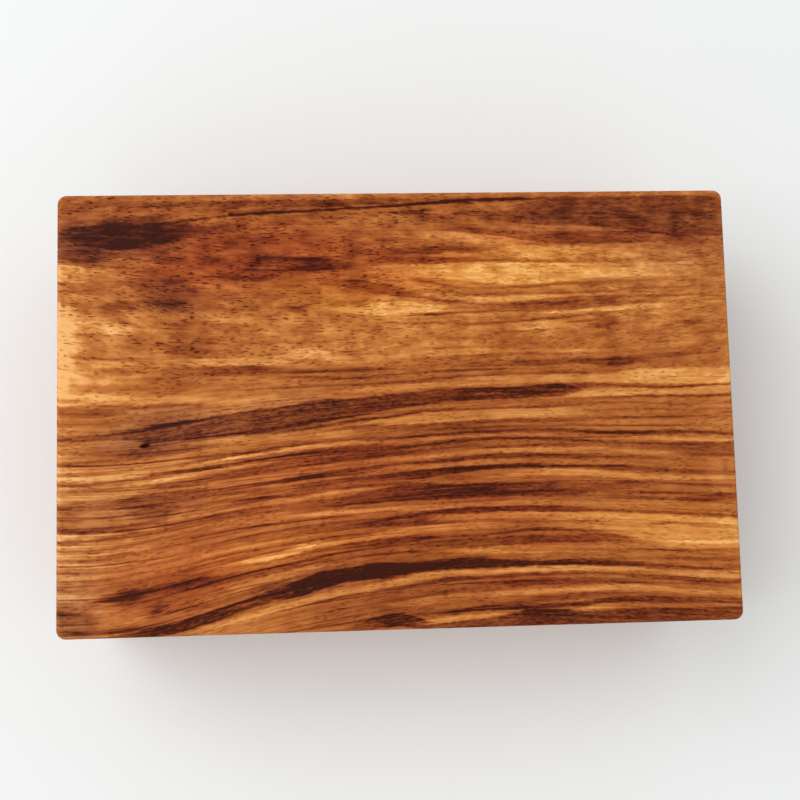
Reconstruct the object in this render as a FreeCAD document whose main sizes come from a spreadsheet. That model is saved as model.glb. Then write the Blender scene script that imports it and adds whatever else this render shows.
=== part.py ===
"""Shogi piece box: a mitred hardwood box with a deep lift-off lid, drawn as a parametric document.

The box is glued up closed and then sawn apart low down, which leaves the lid and a low rim of the
same walls. A lining of thinner boards stands inside the rim, and the lid slides down over it until
it rests on the rim. Thin keys, let in across every mitre, hold the corners.

Frame: millimetres, +Z up, origin at the middle of the footprint on the surface that the box stands
on, +X along the box's length. "Front" is the long side at -Y.
"""

import FreeCAD, Part
import os
import Sketcher

doc = FreeCAD.newDocument("shogi_piece_box")

# ------------------------------------------------------------------ driving dimensions

DIMENSIONS = (
    ("box_length", 185.0, "outside length of the closed box"),
    ("box_width", 120.0, "outside width of the closed box"),
    ("box_height", 68.0, "height of the closed box"),
    ("corner_radius", 2.5, "rounding of the upright outside corners"),
    ("lid_wall_thickness", 5.5, "four mitred walls of the lid"),
    ("top_board_thickness", 7.0, "board that covers the lid walls to their outer edges"),
    ("top_arris_radius", 1.2, "rounding of the upper edge of the top board"),
    ("top_field_depth", 2.5, "middle of the top board that drops in between the lid walls"),
    ("top_field_chamfer", 0.6, "eased lower edge of that middle"),
    ("rim_height", 10.0, "height of the saw cut that parts the lid from the base"),
    ("rim_foot_radius", 0.8, "rounding of the edge that the box stands on"),
    ("parting_chamfer", 0.4, "eased edges along the line between lid and rim"),
    ("lid_clearance", 0.35, "gap all round between the lid and the lining"),
    ("lid_lead_in", 0.6, "chamfer inside the mouth of the lid"),
    ("lining_thickness", 4.5, "boards that stand inside the rim"),
    ("lining_head_room", 1.0, "gap between the lining and the top board"),
    ("lining_corner_radius", 1.5, "rounding of the lining's upright corners"),
    ("lining_lead_in", 0.8, "chamfer round the outside of the lining's upper edge"),
    ("lining_inner_radius", 0.5, "rounding round the inside of the lining's upper edge"),
    ("bottom_board_thickness", 6.0, "board that the pieces lie on"),
    ("bottom_board_lift", 1.0, "gap under the bottom board, so that the box stands on its rim"),
    ("tongue_height", 2.0, "thickness of the tongue round the bottom board"),
    ("tongue_depth", 2.5, "how far that tongue reaches into the rim"),
    ("tongue_lift", 2.0, "height of the tongue's underside"),
    ("key_thickness", 1.2, "thickness of a corner key"),
    ("key_leg", 9.0, "length of a key along each outside face, from the unrounded corner"),
    ("key_lift", 5.8, "height of the lowest key's middle"),
    ("key_pitch", 15.0, "distance from one key up to the next"),
)

sheet = doc.addObject("Spreadsheet::Sheet", "dims")
for row, (alias, millimetres, note) in enumerate(DIMENSIONS, start=1):
    sheet.set(f"A{row}", alias)
    sheet.set(f"B{row}", str(millimetres))
    sheet.set(f"C{row}", note)
    sheet.setAlias(f"B{row}", alias)
doc.recompute()

LID_KEY_ROWS = ("lower", "middle", "upper")

# Sizes that follow from the driving dimensions, as expressions on the sheet.
HALF_LENGTH = "dims.box_length / 2"
HALF_WIDTH = "dims.box_width / 2"
LID_WALL = "dims.lid_wall_thickness"
RIM_WALL = "(dims.lid_wall_thickness + dims.lid_clearance)"
LID_WALL_TOP = "(dims.box_height - dims.top_board_thickness)"
FLOOR_HEIGHT = "(dims.bottom_board_lift + dims.bottom_board_thickness)"
LINING_TOP = f"({LID_WALL_TOP} - dims.top_field_depth - dims.lining_head_room)"


def number(expression):
    """The present value of an expression on the sheet, in millimetres."""
    found = sheet.evalExpression(expression)
    return float(getattr(found, "Value", found))


# ------------------------------------------------------------------ bodies, sketches and features


def new_body(label):
    body = doc.addObject("PartDesign::Body", label)
    body.Label = label
    return body


def new_sketch(body, name, height):
    """An empty sketch that lies flat at a height above the origin, given as an expression."""
    sketch = body.newObject("Sketcher::SketchObject", name)
    floor = next(f for f in body.Origin.OriginFeatures if f.Role == "XY_Plane")
    sketch.AttachmentSupport = (floor, [""])
    sketch.MapMode = "FlatFace"
    sketch.setExpression("AttachmentOffset.Base.z", height)
    return sketch


def bind(sketch, name, constraint, expression):
    """Adds a constraint whose size follows an expression."""
    index = sketch.addConstraint(constraint)
    sketch.renameConstraint(index, name)
    sketch.setExpression(f"Constraints.{name}", expression)


def segment(x0, y0, x1, y1):
    return Part.LineSegment(FreeCAD.Vector(x0, y0, 0), FreeCAD.Vector(x1, y1, 0))


def corner_arc(x, y, radius, start_deg, end_deg):
    circle = Part.Circle(FreeCAD.Vector(x, y, 0), FreeCAD.Vector(0, 0, 1), radius)
    to_radians = FreeCAD.Units.Quantity("1 deg").getValueAs("rad").Value
    return Part.ArcOfCircle(circle, start_deg * to_radians, end_deg * to_radians)


def pad(sketch, name, height, downward=False, symmetric=False):
    feature = sketch.getParent().newObject("PartDesign::Pad", name)
    feature.Profile = sketch
    feature.setExpression("Length", height)
    feature.Reversed = downward
    feature.SideType = "Symmetric" if symmetric else "One side"
    doc.recompute()
    return feature


def pocket(sketch, name, depth, upward=False, symmetric=False):
    """Cuts a sketch out of its body, and stops if the cut took nothing away."""
    body = sketch.getParent()
    volume_before = body.Shape.Volume
    feature = body.newObject("PartDesign::Pocket", name)
    feature.Profile = sketch
    feature.setExpression("Length", depth)
    feature.Reversed = upward
    feature.SideType = "Symmetric" if symmetric else "One side"
    doc.recompute()
    if feature.Shape.Volume > volume_before - 0.1:
        raise RuntimeError(f"{body.Label}: {name} cuts nothing")
    return feature


def edges_where(feature, wanted):
    """Names of the edges of a feature whose ends all meet a test; the test also gets the edge."""
    return [
        f"Edge{i}"
        for i, edge in enumerate(feature.Shape.Edges, start=1)
        if all(wanted(vertex.Point, edge) for vertex in edge.Vertexes)
    ]


def soften(kind, size_property, feature, name, edges, size):
    """A fillet or chamfer on named edges, its size bound to an expression."""
    body = feature.getParent()
    softened = body.newObject(f"PartDesign::{kind}", name)
    softened.Base = (feature, edges)
    softened.setExpression(size_property, size)
    body.Tip = softened
    doc.recompute()
    return softened


def chamfer(feature, name, edges, size):
    return soften("Chamfer", "Size", feature, name, edges, size)


def fillet(feature, name, edges, radius):
    return soften("Fillet", "Radius", feature, name, edges, radius)


def near(a, b):
    return abs(a - b) < 1e-4


def is_round(edge):
    return isinstance(edge.Curve, Part.Circle)


# ------------------------------------------------------------------ plan outlines


def add_box(sketch, left, front, right, back):
    """Four lines joined round a box: 0 in front, 1 on the right, 2 at the back, 3 on the left."""
    sketch.addGeometry([segment(left, front, right, front), segment(right, front, right, back),
                        segment(right, back, left, back), segment(left, back, left, front)])
    for side in range(4):
        sketch.addConstraint(Sketcher.Constraint("Coincident", side, 2, (side + 1) % 4, 1))
    for side, direction in enumerate(("Horizontal", "Vertical", "Horizontal", "Vertical")):
        sketch.addConstraint(Sketcher.Constraint(direction, side))


def draw_rectangle(sketch, length, width):
    """A rectangle centred on the origin."""
    x = number(length) / 2
    y = number(width) / 2
    add_box(sketch, -x, -y, x, y)
    sketch.addConstraint(Sketcher.Constraint("Symmetric", 0, 1, 1, 2, -1, 1))
    bind(sketch, "length", Sketcher.Constraint("DistanceX", 0, 1, 0, 2, 2 * x), length)
    bind(sketch, "width", Sketcher.Constraint("DistanceY", 1, 1, 1, 2, 2 * y), width)


def draw_groove(sketch, half_span, face):
    """A strip from the inner face of a rim wall to the bed of its groove, past both mitres."""
    reach = number(half_span)
    mouth = -number(f"{face} - {RIM_WALL}")
    bed = mouth - number("dims.tongue_depth")
    add_box(sketch, -reach, bed, reach, mouth)
    bind(sketch, "left_reach", Sketcher.Constraint("DistanceX", 0, 1, -1, 1, reach), half_span)
    bind(sketch, "right_reach", Sketcher.Constraint("DistanceX", -1, 1, 0, 2, reach), half_span)
    bind(sketch, "mouth", Sketcher.Constraint("DistanceY", 1, 2, -1, 1, -mouth),
         f"{face} - {RIM_WALL}")
    bind(sketch, "depth", Sketcher.Constraint("DistanceY", 1, 1, 1, 2, mouth - bed),
         "dims.tongue_depth")


def draw_mitred_plan(sketch, half_span, face, thickness, radius):
    """Plan of one wall of a mitred frame: its outer face at y = -face, its ends cut at 45 degrees,
    and its outer corners rounded as far as the mitre. Sizes are expressions."""
    span, out, thick, r = (number(size) for size in (half_span, face, thickness, radius))
    cx = span - r
    cy = -(out - r)
    mid_x = cx + r * 0.5 ** 0.5
    mid_y = cy - r * 0.5 ** 0.5
    inner_x = span - thick
    inner_y = -(out - thick)
    sketch.addGeometry([
        segment(-cx, -out, cx, -out),
        corner_arc(cx, cy, r, 270, 315),
        segment(mid_x, mid_y, inner_x, inner_y),
        segment(inner_x, inner_y, -inner_x, inner_y),
        segment(-inner_x, inner_y, -mid_x, mid_y),
        corner_arc(-cx, cy, r, 225, 270),
    ])
    outer, right_arc, right_mitre, inner, left_mitre, left_arc = range(6)
    start, end, centre = 1, 2, 3
    for constraint in (
        ("Tangent", outer, end, right_arc, start),
        ("Coincident", right_arc, end, right_mitre, start),
        ("Coincident", right_mitre, end, inner, start),
        ("Coincident", inner, end, left_mitre, start),
        ("Coincident", left_mitre, end, left_arc, start),
        ("Tangent", left_arc, end, outer, start),
        ("Symmetric", outer, start, outer, end, -2),
        ("Symmetric", inner, start, inner, end, -2),
        ("Equal", right_arc, left_arc),
        ("PointOnObject", right_arc, centre, right_mitre),
        ("PointOnObject", left_arc, centre, left_mitre),
    ):
        sketch.addConstraint(Sketcher.Constraint(*constraint))
    bind(sketch, "radius", Sketcher.Constraint("Radius", right_arc, r), radius)
    bind(sketch, "face", Sketcher.Constraint("DistanceY", outer, start, -1, 1, out), face)
    bind(sketch, "thickness",
         Sketcher.Constraint("DistanceY", outer, start, inner, end, thick), thickness)
    bind(sketch, "half_flat",
         Sketcher.Constraint("DistanceX", -1, 1, right_arc, centre, cx), f"{half_span} - {radius}")
    bind(sketch, "half_inner",
         Sketcher.Constraint("DistanceX", -1, 1, inner, start, inner_x),
         f"{half_span} - {thickness}")


def draw_kerf(sketch, half_span, face, side):
    """Triangle of a key's saw kerf at one end of a wall; side is 1 for the right end, -1 for the
    left. It reaches from the unrounded corner along both outside faces."""
    x = number(half_span) * side
    y = -number(face)
    leg = number("dims.key_leg")
    first = sketch.GeometryCount
    along, upright, slant = first, first + 1, first + 2
    sketch.addGeometry([segment(x - side * leg, y, x, y), segment(x, y, x, y + leg),
                        segment(x, y + leg, x - side * leg, y)])
    for constraint in (
        ("Coincident", along, 2, upright, 1),
        ("Coincident", upright, 2, slant, 1),
        ("Coincident", slant, 2, along, 1),
        ("Horizontal", along),
        ("Vertical", upright),
        ("Equal", along, upright),
    ):
        sketch.addConstraint(Sketcher.Constraint(*constraint))
    end = "right" if side > 0 else "left"
    corner, origin = (upright, 1), (-1, 1)
    span_points = (*origin, *corner) if side > 0 else (*corner, *origin)
    bind(sketch, f"{end}_span", Sketcher.Constraint("DistanceX", *span_points, abs(x)), half_span)
    bind(sketch, f"{end}_face", Sketcher.Constraint("DistanceY", *corner, *origin, -y), face)
    bind(sketch, f"{end}_leg", Sketcher.Constraint("DistanceY", upright, 1, upright, 2, leg),
         "dims.key_leg")


# ------------------------------------------------------------------ walls of the lid, rim and lining

# Side, the span and distance of its outer face, and the turn from the front side to it.
SIDES = (
    ("front", HALF_LENGTH, HALF_WIDTH, 0),
    ("right", HALF_WIDTH, HALF_LENGTH, 90),
    ("back", HALF_LENGTH, HALF_WIDTH, 180),
    ("left", HALF_WIDTH, HALF_LENGTH, 270),
)


def mitred_wall(label, half_span, face, thickness, radius, bottom, top):
    """A wall drawn as the front one: a mitred plan padded from one height to another."""
    body = new_body(label)
    plan = new_sketch(body, "Plan", bottom)
    draw_mitred_plan(plan, half_span, face, thickness, radius)
    return body, pad(plan, "Wall", f"{top} - {bottom}")


def outer_edges(feature, height, face):
    """The outside arris at a height: the long edge and the rounded corner at each end of it."""
    z = number(height)
    y = -number(face)
    return edges_where(
        feature, lambda p, edge: near(p.z, z) and (is_round(edge) or near(p.y, y)))


def inner_edge(feature, height, inner_face):
    """The inside arris at a height."""
    z = number(height)
    y = -number(inner_face)
    return edges_where(feature, lambda p, edge: near(p.z, z) and near(p.y, y))


def saw_kerfs(body, half_span, face, height):
    """Kerfs for the corner keys across both mitres of a wall, at one height."""
    sketch = new_sketch(body, "KeyKerfs", height)
    draw_kerf(sketch, half_span, face, 1)
    draw_kerf(sketch, half_span, face, -1)
    return pocket(sketch, "KeyKerfCut", "dims.key_thickness", symmetric=True)


def repeat_upwards(body, feature, count, pitch):
    """Repeats a feature at an even pitch up the body."""
    rows = body.newObject("PartDesign::LinearPattern", "KeyRows")
    rows.Originals = [feature]
    upright = next(f for f in body.Origin.OriginFeatures if f.Role == "Z_Axis")
    rows.Direction = (upright, [""])
    rows.Occurrences = count
    rows.setExpression("Length", f"{count - 1} * {pitch}")
    body.Tip = rows
    doc.recompute()
    return rows


def turn(body, degrees):
    body.Placement = FreeCAD.Placement(
        FreeCAD.Vector(0, 0, 0), FreeCAD.Rotation(FreeCAD.Vector(0, 0, 1), degrees))


def lid_wall(side, half_span, face):
    """A lid wall: eased at its mouth inside and out, and kerfed for three rows of keys."""
    body, wall = mitred_wall(
        f"lid_wall_{side}", half_span, face, LID_WALL, "dims.corner_radius",
        "dims.rim_height", LID_WALL_TOP)
    mouth = chamfer(wall, "PartingChamfer", outer_edges(wall, "dims.rim_height", face),
                    "dims.parting_chamfer")
    chamfer(mouth, "LeadIn", inner_edge(mouth, "dims.rim_height", f"{face} - {LID_WALL}"),
            "dims.lid_lead_in")
    kerf = saw_kerfs(body, half_span, face, "dims.key_lift + dims.key_pitch")
    repeat_upwards(body, kerf, len(LID_KEY_ROWS), "dims.key_pitch")
    return body


def rim_wall(side, half_span, face):
    """A rim strip: the foot of the same wall, grooved inside for the bottom board's tongue."""
    body, wall = mitred_wall(
        f"base_rim_{side}", half_span, face, RIM_WALL, "dims.corner_radius",
        "0", "dims.rim_height")
    parting = chamfer(wall, "PartingChamfer", outer_edges(wall, "dims.rim_height", face),
                      "dims.parting_chamfer")
    fillet(parting, "FootRound", outer_edges(parting, "0", face), "dims.rim_foot_radius")
    groove = new_sketch(body, "GroovePlan", "dims.tongue_lift")
    draw_groove(groove, half_span, face)
    pocket(groove, "BoardGroove", "dims.tongue_height", upward=True)
    saw_kerfs(body, half_span, face, "dims.key_lift")
    return body


def lining_wall(side, half_span, face):
    """A lining board: stands on the bottom board inside the rim, eased for the lid to find it."""
    body, wall = mitred_wall(
        f"lining_{side}", f"({half_span} - {RIM_WALL})", f"({face} - {RIM_WALL})",
        "dims.lining_thickness", "dims.lining_corner_radius", FLOOR_HEIGHT, LINING_TOP)
    outer = outer_edges(wall, LINING_TOP, f"{face} - {RIM_WALL}")
    lead = chamfer(wall, "LeadIn", outer, "dims.lining_lead_in")
    inner = inner_edge(lead, LINING_TOP, f"{face} - {RIM_WALL} - dims.lining_thickness")
    fillet(lead, "InnerRound", inner, "dims.lining_inner_radius")
    return body


# ------------------------------------------------------------------ top and bottom boards


def top_board():
    """The board over the lid walls, with a field underneath that locates it between them."""
    body = new_body("lid_top_board")
    plan = new_sketch(body, "Plan", LID_WALL_TOP)
    draw_rectangle(plan, "dims.box_length", "dims.box_width")
    board = pad(plan, "Board", "dims.top_board_thickness")
    corners = edges_where(
        board, lambda p, edge: near(abs(edge.tangentAt(edge.FirstParameter).z), 1))
    rounded = fillet(board, "CornerRound", corners, "dims.corner_radius")
    height = number("dims.box_height")
    arris = edges_where(rounded, lambda p, edge: near(p.z, height))
    fillet(rounded, "ArrisRound", arris, "dims.top_arris_radius")
    field_plan = new_sketch(body, "FieldPlan", LID_WALL_TOP)
    draw_rectangle(field_plan, f"dims.box_length - 2 * {LID_WALL}",
                   f"dims.box_width - 2 * {LID_WALL}")
    field = pad(field_plan, "Field", "dims.top_field_depth", downward=True)
    underside = number(f"{LID_WALL_TOP} - dims.top_field_depth")
    lower = edges_where(field, lambda p, edge: near(p.z, underside))
    chamfer(field, "FieldChamfer", lower, "dims.top_field_chamfer")
    return body


def bottom_board():
    """The floor of the box: a board with a tongue all round that sits in the rim's groove."""
    body = new_body("base_bottom_board")
    inside_length = f"dims.box_length - 2 * {RIM_WALL}"
    inside_width = f"dims.box_width - 2 * {RIM_WALL}"
    plan = new_sketch(body, "Plan", "dims.bottom_board_lift")
    draw_rectangle(plan, inside_length, inside_width)
    pad(plan, "Board", "dims.bottom_board_thickness")
    tongue_plan = new_sketch(body, "TonguePlan", "dims.tongue_lift")
    draw_rectangle(tongue_plan, f"{inside_length} + 2 * dims.tongue_depth",
                   f"{inside_width} + 2 * dims.tongue_depth")
    pad(tongue_plan, "Tongue", "dims.tongue_height")
    return body


# ------------------------------------------------------------------ corner keys

# Corner, the signs of its X and Y, and the turn from the front right corner to it.
CORNERS = (
    ("front_right", 1, -1, 0),
    ("back_right", 1, 1, 90),
    ("back_left", -1, 1, 180),
    ("front_left", -1, -1, 270),
)


def draw_key_plan(sketch):
    """Plan of a key, drawn at the front right corner with the unrounded corner at the origin."""
    leg = number("dims.key_leg")
    r = number("dims.corner_radius")
    sketch.addGeometry([
        segment(-leg, 0, -r, 0),
        corner_arc(-r, r, r, 270, 360),
        segment(0, r, 0, leg),
        segment(0, leg, -leg, 0),
    ])
    along, corner, upright, slant = range(4)
    for constraint in (
        ("Tangent", along, 2, corner, 1),
        ("Tangent", corner, 2, upright, 1),
        ("Coincident", upright, 2, slant, 1),
        ("Coincident", slant, 2, along, 1),
        ("PointOnObject", along, 1, -1),
        ("PointOnObject", along, 2, -1),
        ("PointOnObject", upright, 1, -2),
        ("PointOnObject", upright, 2, -2),
        ("Equal", along, upright),
    ):
        sketch.addConstraint(Sketcher.Constraint(*constraint))
    bind(sketch, "radius", Sketcher.Constraint("Radius", corner, r), "dims.corner_radius")
    bind(sketch, "leg", Sketcher.Constraint("DistanceX", along, 1, -1, 1, leg), "dims.key_leg")


def corner_key(label, x_sign, y_sign, degrees, height):
    """A thin slip let in across a mitre, flush with both faces and the rounded corner."""
    body = new_body(label)
    plan = new_sketch(body, "Plan", "0")
    draw_key_plan(plan)
    pad(plan, "Key", "dims.key_thickness", symmetric=True)
    turn(body, degrees)
    body.setExpression("Placement.Base.x", f"{x_sign} * {HALF_LENGTH}")
    body.setExpression("Placement.Base.y", f"{y_sign} * {HALF_WIDTH}")
    body.setExpression("Placement.Base.z", height)
    return body


# ------------------------------------------------------------------ the whole box

sub_parts = [top_board(), bottom_board()]
for side, half_span, face, degrees in SIDES:
    for build in (lid_wall, rim_wall, lining_wall):
        wall_body = build(side, half_span, face)
        turn(wall_body, degrees)
        sub_parts.append(wall_body)
for corner, x_sign, y_sign, degrees in CORNERS:
    sub_parts.append(corner_key(f"base_key_{corner}", x_sign, y_sign, degrees, "dims.key_lift"))
    for row, row_name in enumerate(LID_KEY_ROWS, start=1):
        sub_parts.append(corner_key(f"lid_key_{corner}_{row_name}", x_sign, y_sign, degrees,
                                    f"dims.key_lift + {row} * dims.key_pitch"))
doc.recompute()

# ------------------------------------------------------------------ checks and export

for item in doc.Objects:
    if "Invalid" in item.State or "Error" in item.State:
        raise RuntimeError(f"{item.Label} failed: {item.State}")
    if item.isDerivedFrom("Sketcher::SketchObject") and not item.FullyConstrained:
        raise RuntimeError(f"{item.getParent().Label}: {item.Label} isn't fully constrained")
for body in sub_parts:
    shape = body.Shape
    if shape.isNull() or not shape.isValid() or len(shape.Solids) != 1:
        raise RuntimeError(f"{body.Label} is not one valid solid")

os.makedirs("parts", exist_ok=True)
for body in sub_parts:
    body.Shape.exportStep(f"parts/{body.Label}.step")
    box = body.Shape.BoundBox
    print(f"{body.Label:30s} {body.Shape.Volume:10.1f} mm3  "
          f"x {box.XMin:8.2f} {box.XMax:8.2f}  y {box.YMin:8.2f} {box.YMax:8.2f}  "
          f"z {box.ZMin:6.2f} {box.ZMax:6.2f}")
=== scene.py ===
import math
import bpy
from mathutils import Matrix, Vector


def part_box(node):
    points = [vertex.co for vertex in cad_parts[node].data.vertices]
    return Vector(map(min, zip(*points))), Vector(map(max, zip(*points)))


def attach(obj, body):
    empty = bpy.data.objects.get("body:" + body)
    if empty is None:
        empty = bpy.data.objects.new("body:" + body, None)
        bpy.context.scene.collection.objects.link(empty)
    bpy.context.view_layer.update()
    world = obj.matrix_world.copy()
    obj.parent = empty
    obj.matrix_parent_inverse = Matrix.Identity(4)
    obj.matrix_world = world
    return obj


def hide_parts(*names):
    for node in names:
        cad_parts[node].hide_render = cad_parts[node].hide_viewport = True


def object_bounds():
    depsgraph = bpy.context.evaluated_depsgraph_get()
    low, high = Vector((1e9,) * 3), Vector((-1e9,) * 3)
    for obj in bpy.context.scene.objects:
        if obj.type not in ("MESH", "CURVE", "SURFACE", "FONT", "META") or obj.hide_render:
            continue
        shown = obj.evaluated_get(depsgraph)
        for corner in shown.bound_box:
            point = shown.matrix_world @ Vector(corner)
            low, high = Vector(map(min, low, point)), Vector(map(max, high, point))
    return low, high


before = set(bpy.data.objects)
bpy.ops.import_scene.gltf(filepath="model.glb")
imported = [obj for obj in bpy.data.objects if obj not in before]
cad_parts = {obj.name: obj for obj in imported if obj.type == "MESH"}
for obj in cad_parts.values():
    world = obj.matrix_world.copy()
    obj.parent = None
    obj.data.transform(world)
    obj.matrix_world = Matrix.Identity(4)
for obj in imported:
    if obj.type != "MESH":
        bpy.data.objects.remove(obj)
cad_low, cad_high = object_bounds()


# ---- Walls of the lid and rim of the base ------------------------------------------------------------
# Four boards of figured hardwood, mitred at the corners and glued up as one deep frame under the top.
# The closed box is then sawn round low down: the tall part is the lid's walls, the low part the rim of
# the base, and the figure runs on across the parting. Rubbed with oil to a satin finish.

MM = 0.001
TO_MM = 1000
HALF_LENGTH = cad_high.x / MM
HALF_WIDTH = cad_high.y / MM
WALL_THICKNESS = HALF_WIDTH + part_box("lid_wall_front")[1].y / MM
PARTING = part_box("lid_wall_front")[0].z / MM
TOP_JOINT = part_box("lid_wall_front")[1].z / MM
MITRE_GLUE = (0.05, 0.16)    # a glue line's half width, and where its soft edge ends
TOP_GLUE = (0.06, 0.2)
PARTING_SHADE_LINE = (0.1, 0.45)        # painted shade: the fine dark line in the gap where lid and base part, in the same way
GLUE_SHADE = 0.4             # how much darker than its wood a mitre's glue line is
WALL_TONE = 0.56             # how light the walls are before their figure, 0 to 1 on the colours below


class Term:
    """One value in a node tree. Sums on it are written as plain expressions and add Math nodes."""

    def __init__(self, tree, socket=None):
        self.tree = tree
        self.socket = socket

    def node(self, kind, settings=None, inputs=None, output=0):
        """Adds a node of a kind: its settings first, then the value or the link of each socket.

        Stops are the places and colours of a ramp. Courses are the points of a curve node's three lines.
        """
        made = self.tree.nodes.new(kind)
        for name, value in (settings or {}).items():
            if name == "stops":
                ramp = made.color_ramp
                while len(ramp.elements) < len(value):
                    ramp.elements.new(0.5)
                for element, (place, colour) in zip(ramp.elements, value):
                    element.position = place
                    element.color = (*colour, 1)
            elif name == "courses":
                made.mapping.extend = "HORIZONTAL"
                for curve, course in zip(made.mapping.curves, value):
                    curve.points[0].location = course[0]
                    curve.points[1].location = course[-1]
                    for place in course[1:-1]:
                        curve.points.new(*place)
                    for point in curve.points:
                        point.handle_type = "AUTO_CLAMPED"
                made.mapping.update()
            else:
                setattr(made, name, value)
        for key, value in (inputs or {}).items():
            for one in value if isinstance(value, list) else [value]:
                if isinstance(one, Term):
                    self.tree.links.new(one.socket, made.inputs[key])
                else:
                    made.inputs[key].default_value = one
        return Term(self.tree, made.outputs[output] if made.outputs else None)

    def other(self, output):
        """Another output of the node that this value comes from."""
        return Term(self.tree, self.socket.node.outputs[output])

    def math(self, operation, *values):
        return self.node("ShaderNodeMath", {"operation": operation}, dict(enumerate(values)))

    def __add__(self, other):
        return self.math("ADD", self, other)

    def __radd__(self, other):
        return self.math("ADD", other, self)

    def __sub__(self, other):
        return self.math("SUBTRACT", self, other)

    def __rsub__(self, other):
        return self.math("SUBTRACT", other, self)

    def __mul__(self, other):
        return self.math("MULTIPLY", self, other)

    def __rmul__(self, other):
        return self.math("MULTIPLY", other, self)

    def __truediv__(self, other):
        return self.math("DIVIDE", self, other)

    def __pow__(self, other):
        return self.math("POWER", self, other)

    def __neg__(self):
        return self.math("MULTIPLY", self, -1.0)

    def __abs__(self):
        return self.math("ABSOLUTE", self)

    def limit(self, low, high):
        return self.node("ShaderNodeClamp", None, {"Value": self, "Min": low, "Max": high})

    def ease(self, low, high):
        """Rises smoothly from 0 to 1 as this value goes from low to high."""
        return self.node("ShaderNodeMapRange", {"interpolation_type": "SMOOTHSTEP", "clamp": False},
                         {"Value": self, "From Min": low, "From Max": high})

    def vector(self, x, y, z):
        return self.node("ShaderNodeCombineXYZ", None, {"X": x, "Y": y, "Z": z})

    def parts(self):
        """The three numbers of a vector."""
        split = self.node("ShaderNodeSeparateXYZ", None, {"Vector": self})
        return [split.other(axis) for axis in "XYZ"]

    def noise(self, x, y, z, detail=2.0, roughness=0.5):
        """A smooth uneven value about 0, with about one wave to a unit of x, y and z."""
        uneven = self.node("ShaderNodeTexNoise", {"noise_dimensions": "3D"},
                           {"Vector": self.vector(x, y, z), "Scale": 1.0, "Detail": detail,
                            "Roughness": roughness})
        return uneven - 0.5


def shade(red, green, blue):
    """A colour given in ordinary 0 to 255 values, as the shaders take it."""
    def linear(value):
        value /= 255
        return value / 12.92 if value <= 0.04045 else ((value + 0.055) / 1.055) ** 2.4
    return (linear(red), linear(green), linear(blue))


# From the darkest growth lines to the palest sapwood streaks.
HARDWOOD = (
    (0.00, shade(60, 21, 9)), (0.12, shade(84, 32, 12)), (0.25, shade(116, 51, 23)),
    (0.40, shade(147, 74, 32)), (0.54, shade(168, 93, 42)), (0.70, shade(193, 118, 57)),
    (0.86, shade(218, 147, 78)), (1.00, shade(241, 179, 112)),
)


def start_wood(name):
    """A new material, with a spot's place on the box in millimetres and the way the surface faces."""
    material = bpy.data.materials.new(name)
    material.use_nodes = True
    material.node_tree.nodes.clear()
    root = Term(material.node_tree)
    spot = root.node("ShaderNodeTexCoord", output="Object").parts()
    facing = root.node("ShaderNodeTexCoord", output="Normal").parts()
    return material, root, [value * TO_MM for value in spot], facing


def sawn_wood(along, level, deep, fine=None, bands=0.35, lines=0.2, fibres=0.42, mottle=0.1, pores=0.3):
    """How light sawn wood is at a spot, from its bands, growth lines, fibres, mottle and open pores.

    Along, level and deep are millimetres with the grain, across the growth and into the board. Each is
    divided by how long or wide the marks of that kind are. Gives the tone, about 0, the height of the
    surface, and how far the spot lies in a pore.
    """
    fine = fine or level
    broad = along.noise(along / 45, level * 0.2, deep / 10, 4, 0.7)
    ridge = abs(along.noise(along / 110, level * 0.42, deep / 12 + 4.0, 2, 0.45))
    finer = abs(along.noise(along / 70, level * 0.8, deep / 12 + 9.0, 1, 0.45))
    strength = along.noise(along / 36, level * 0.9, deep / 12 + 20.0).ease(-0.2, 0.12)
    growth = ((1 - ridge.ease(0.0, 0.055)) + (1 - finer.ease(0.0, 0.09)) * 0.5) * strength
    fibre = along.noise(along / 4.5, fine * 0.95, deep, 2, 0.55)
    cloud = along.noise(along / 6.5, fine / 2.8, deep / 6, 3, 0.62)
    pore = along.noise(along / 1.8, fine / 0.38, deep / 0.4, 0).ease(0.11, 0.2)
    crowd = along.noise(along / 9, fine / 4.5, deep / 4, 2).ease(-0.2, 0.12)
    pit = pore * crowd
    tone = broad * bands - growth * lines + fibre * fibres + cloud * mottle - pit * pores
    return tone, fibre * 0.25 - growth * 0.1 - pit, pit


RED_TINT = (1.02, 0.80, 0.84, 1)
# plum tint: the wood's own purple in places, and painted reflection of the sky on the top board's far
# corners and left end
PLUM_AND_SKY_TINT = (0.88, 1.04, 1.6, 1)
GOLD_TINT = (1.03, 1.02, 0.78, 1)
PORE_DEPTH = 0.12
FINE_GLOSS = 0.06            # a thin oil film mirrors little


def oiled(material, tone, red, relief, pit, worn, satin=0.46, ramp=HARDWOOD, plum_and_sky=0.0, gold=0.0):
    """Finishes a wood: its colour, a satin skin that is duller in the pores, and their relief."""
    colour = tone.node("ShaderNodeValToRGB", {"stops": ramp}, {"Fac": tone})
    for share, tint in ((red, RED_TINT), (plum_and_sky, PLUM_AND_SKY_TINT), (gold, GOLD_TINT)):
        if isinstance(share, Term):
            colour = tone.node("ShaderNodeMix", {"data_type": "RGBA", "blend_type": "MULTIPLY"},
                               {0: share, 6: colour, 7: tint}, output=2)
    skin = satin + pit * 0.25 - tone * 0.10 - worn * 0.06
    bump = tone.node("ShaderNodeBump", None,
                     {"Strength": 1.0, "Distance": PORE_DEPTH * MM, "Height": relief})
    shader = tone.node("ShaderNodeBsdfPrincipled", None,
                       {"Base Color": colour, "Roughness": skin, "Specular IOR Level": FINE_GLOSS,
                        "Normal": bump})
    shader.node("ShaderNodeOutputMaterial", None, {"Surface": shader})
    return material


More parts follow.
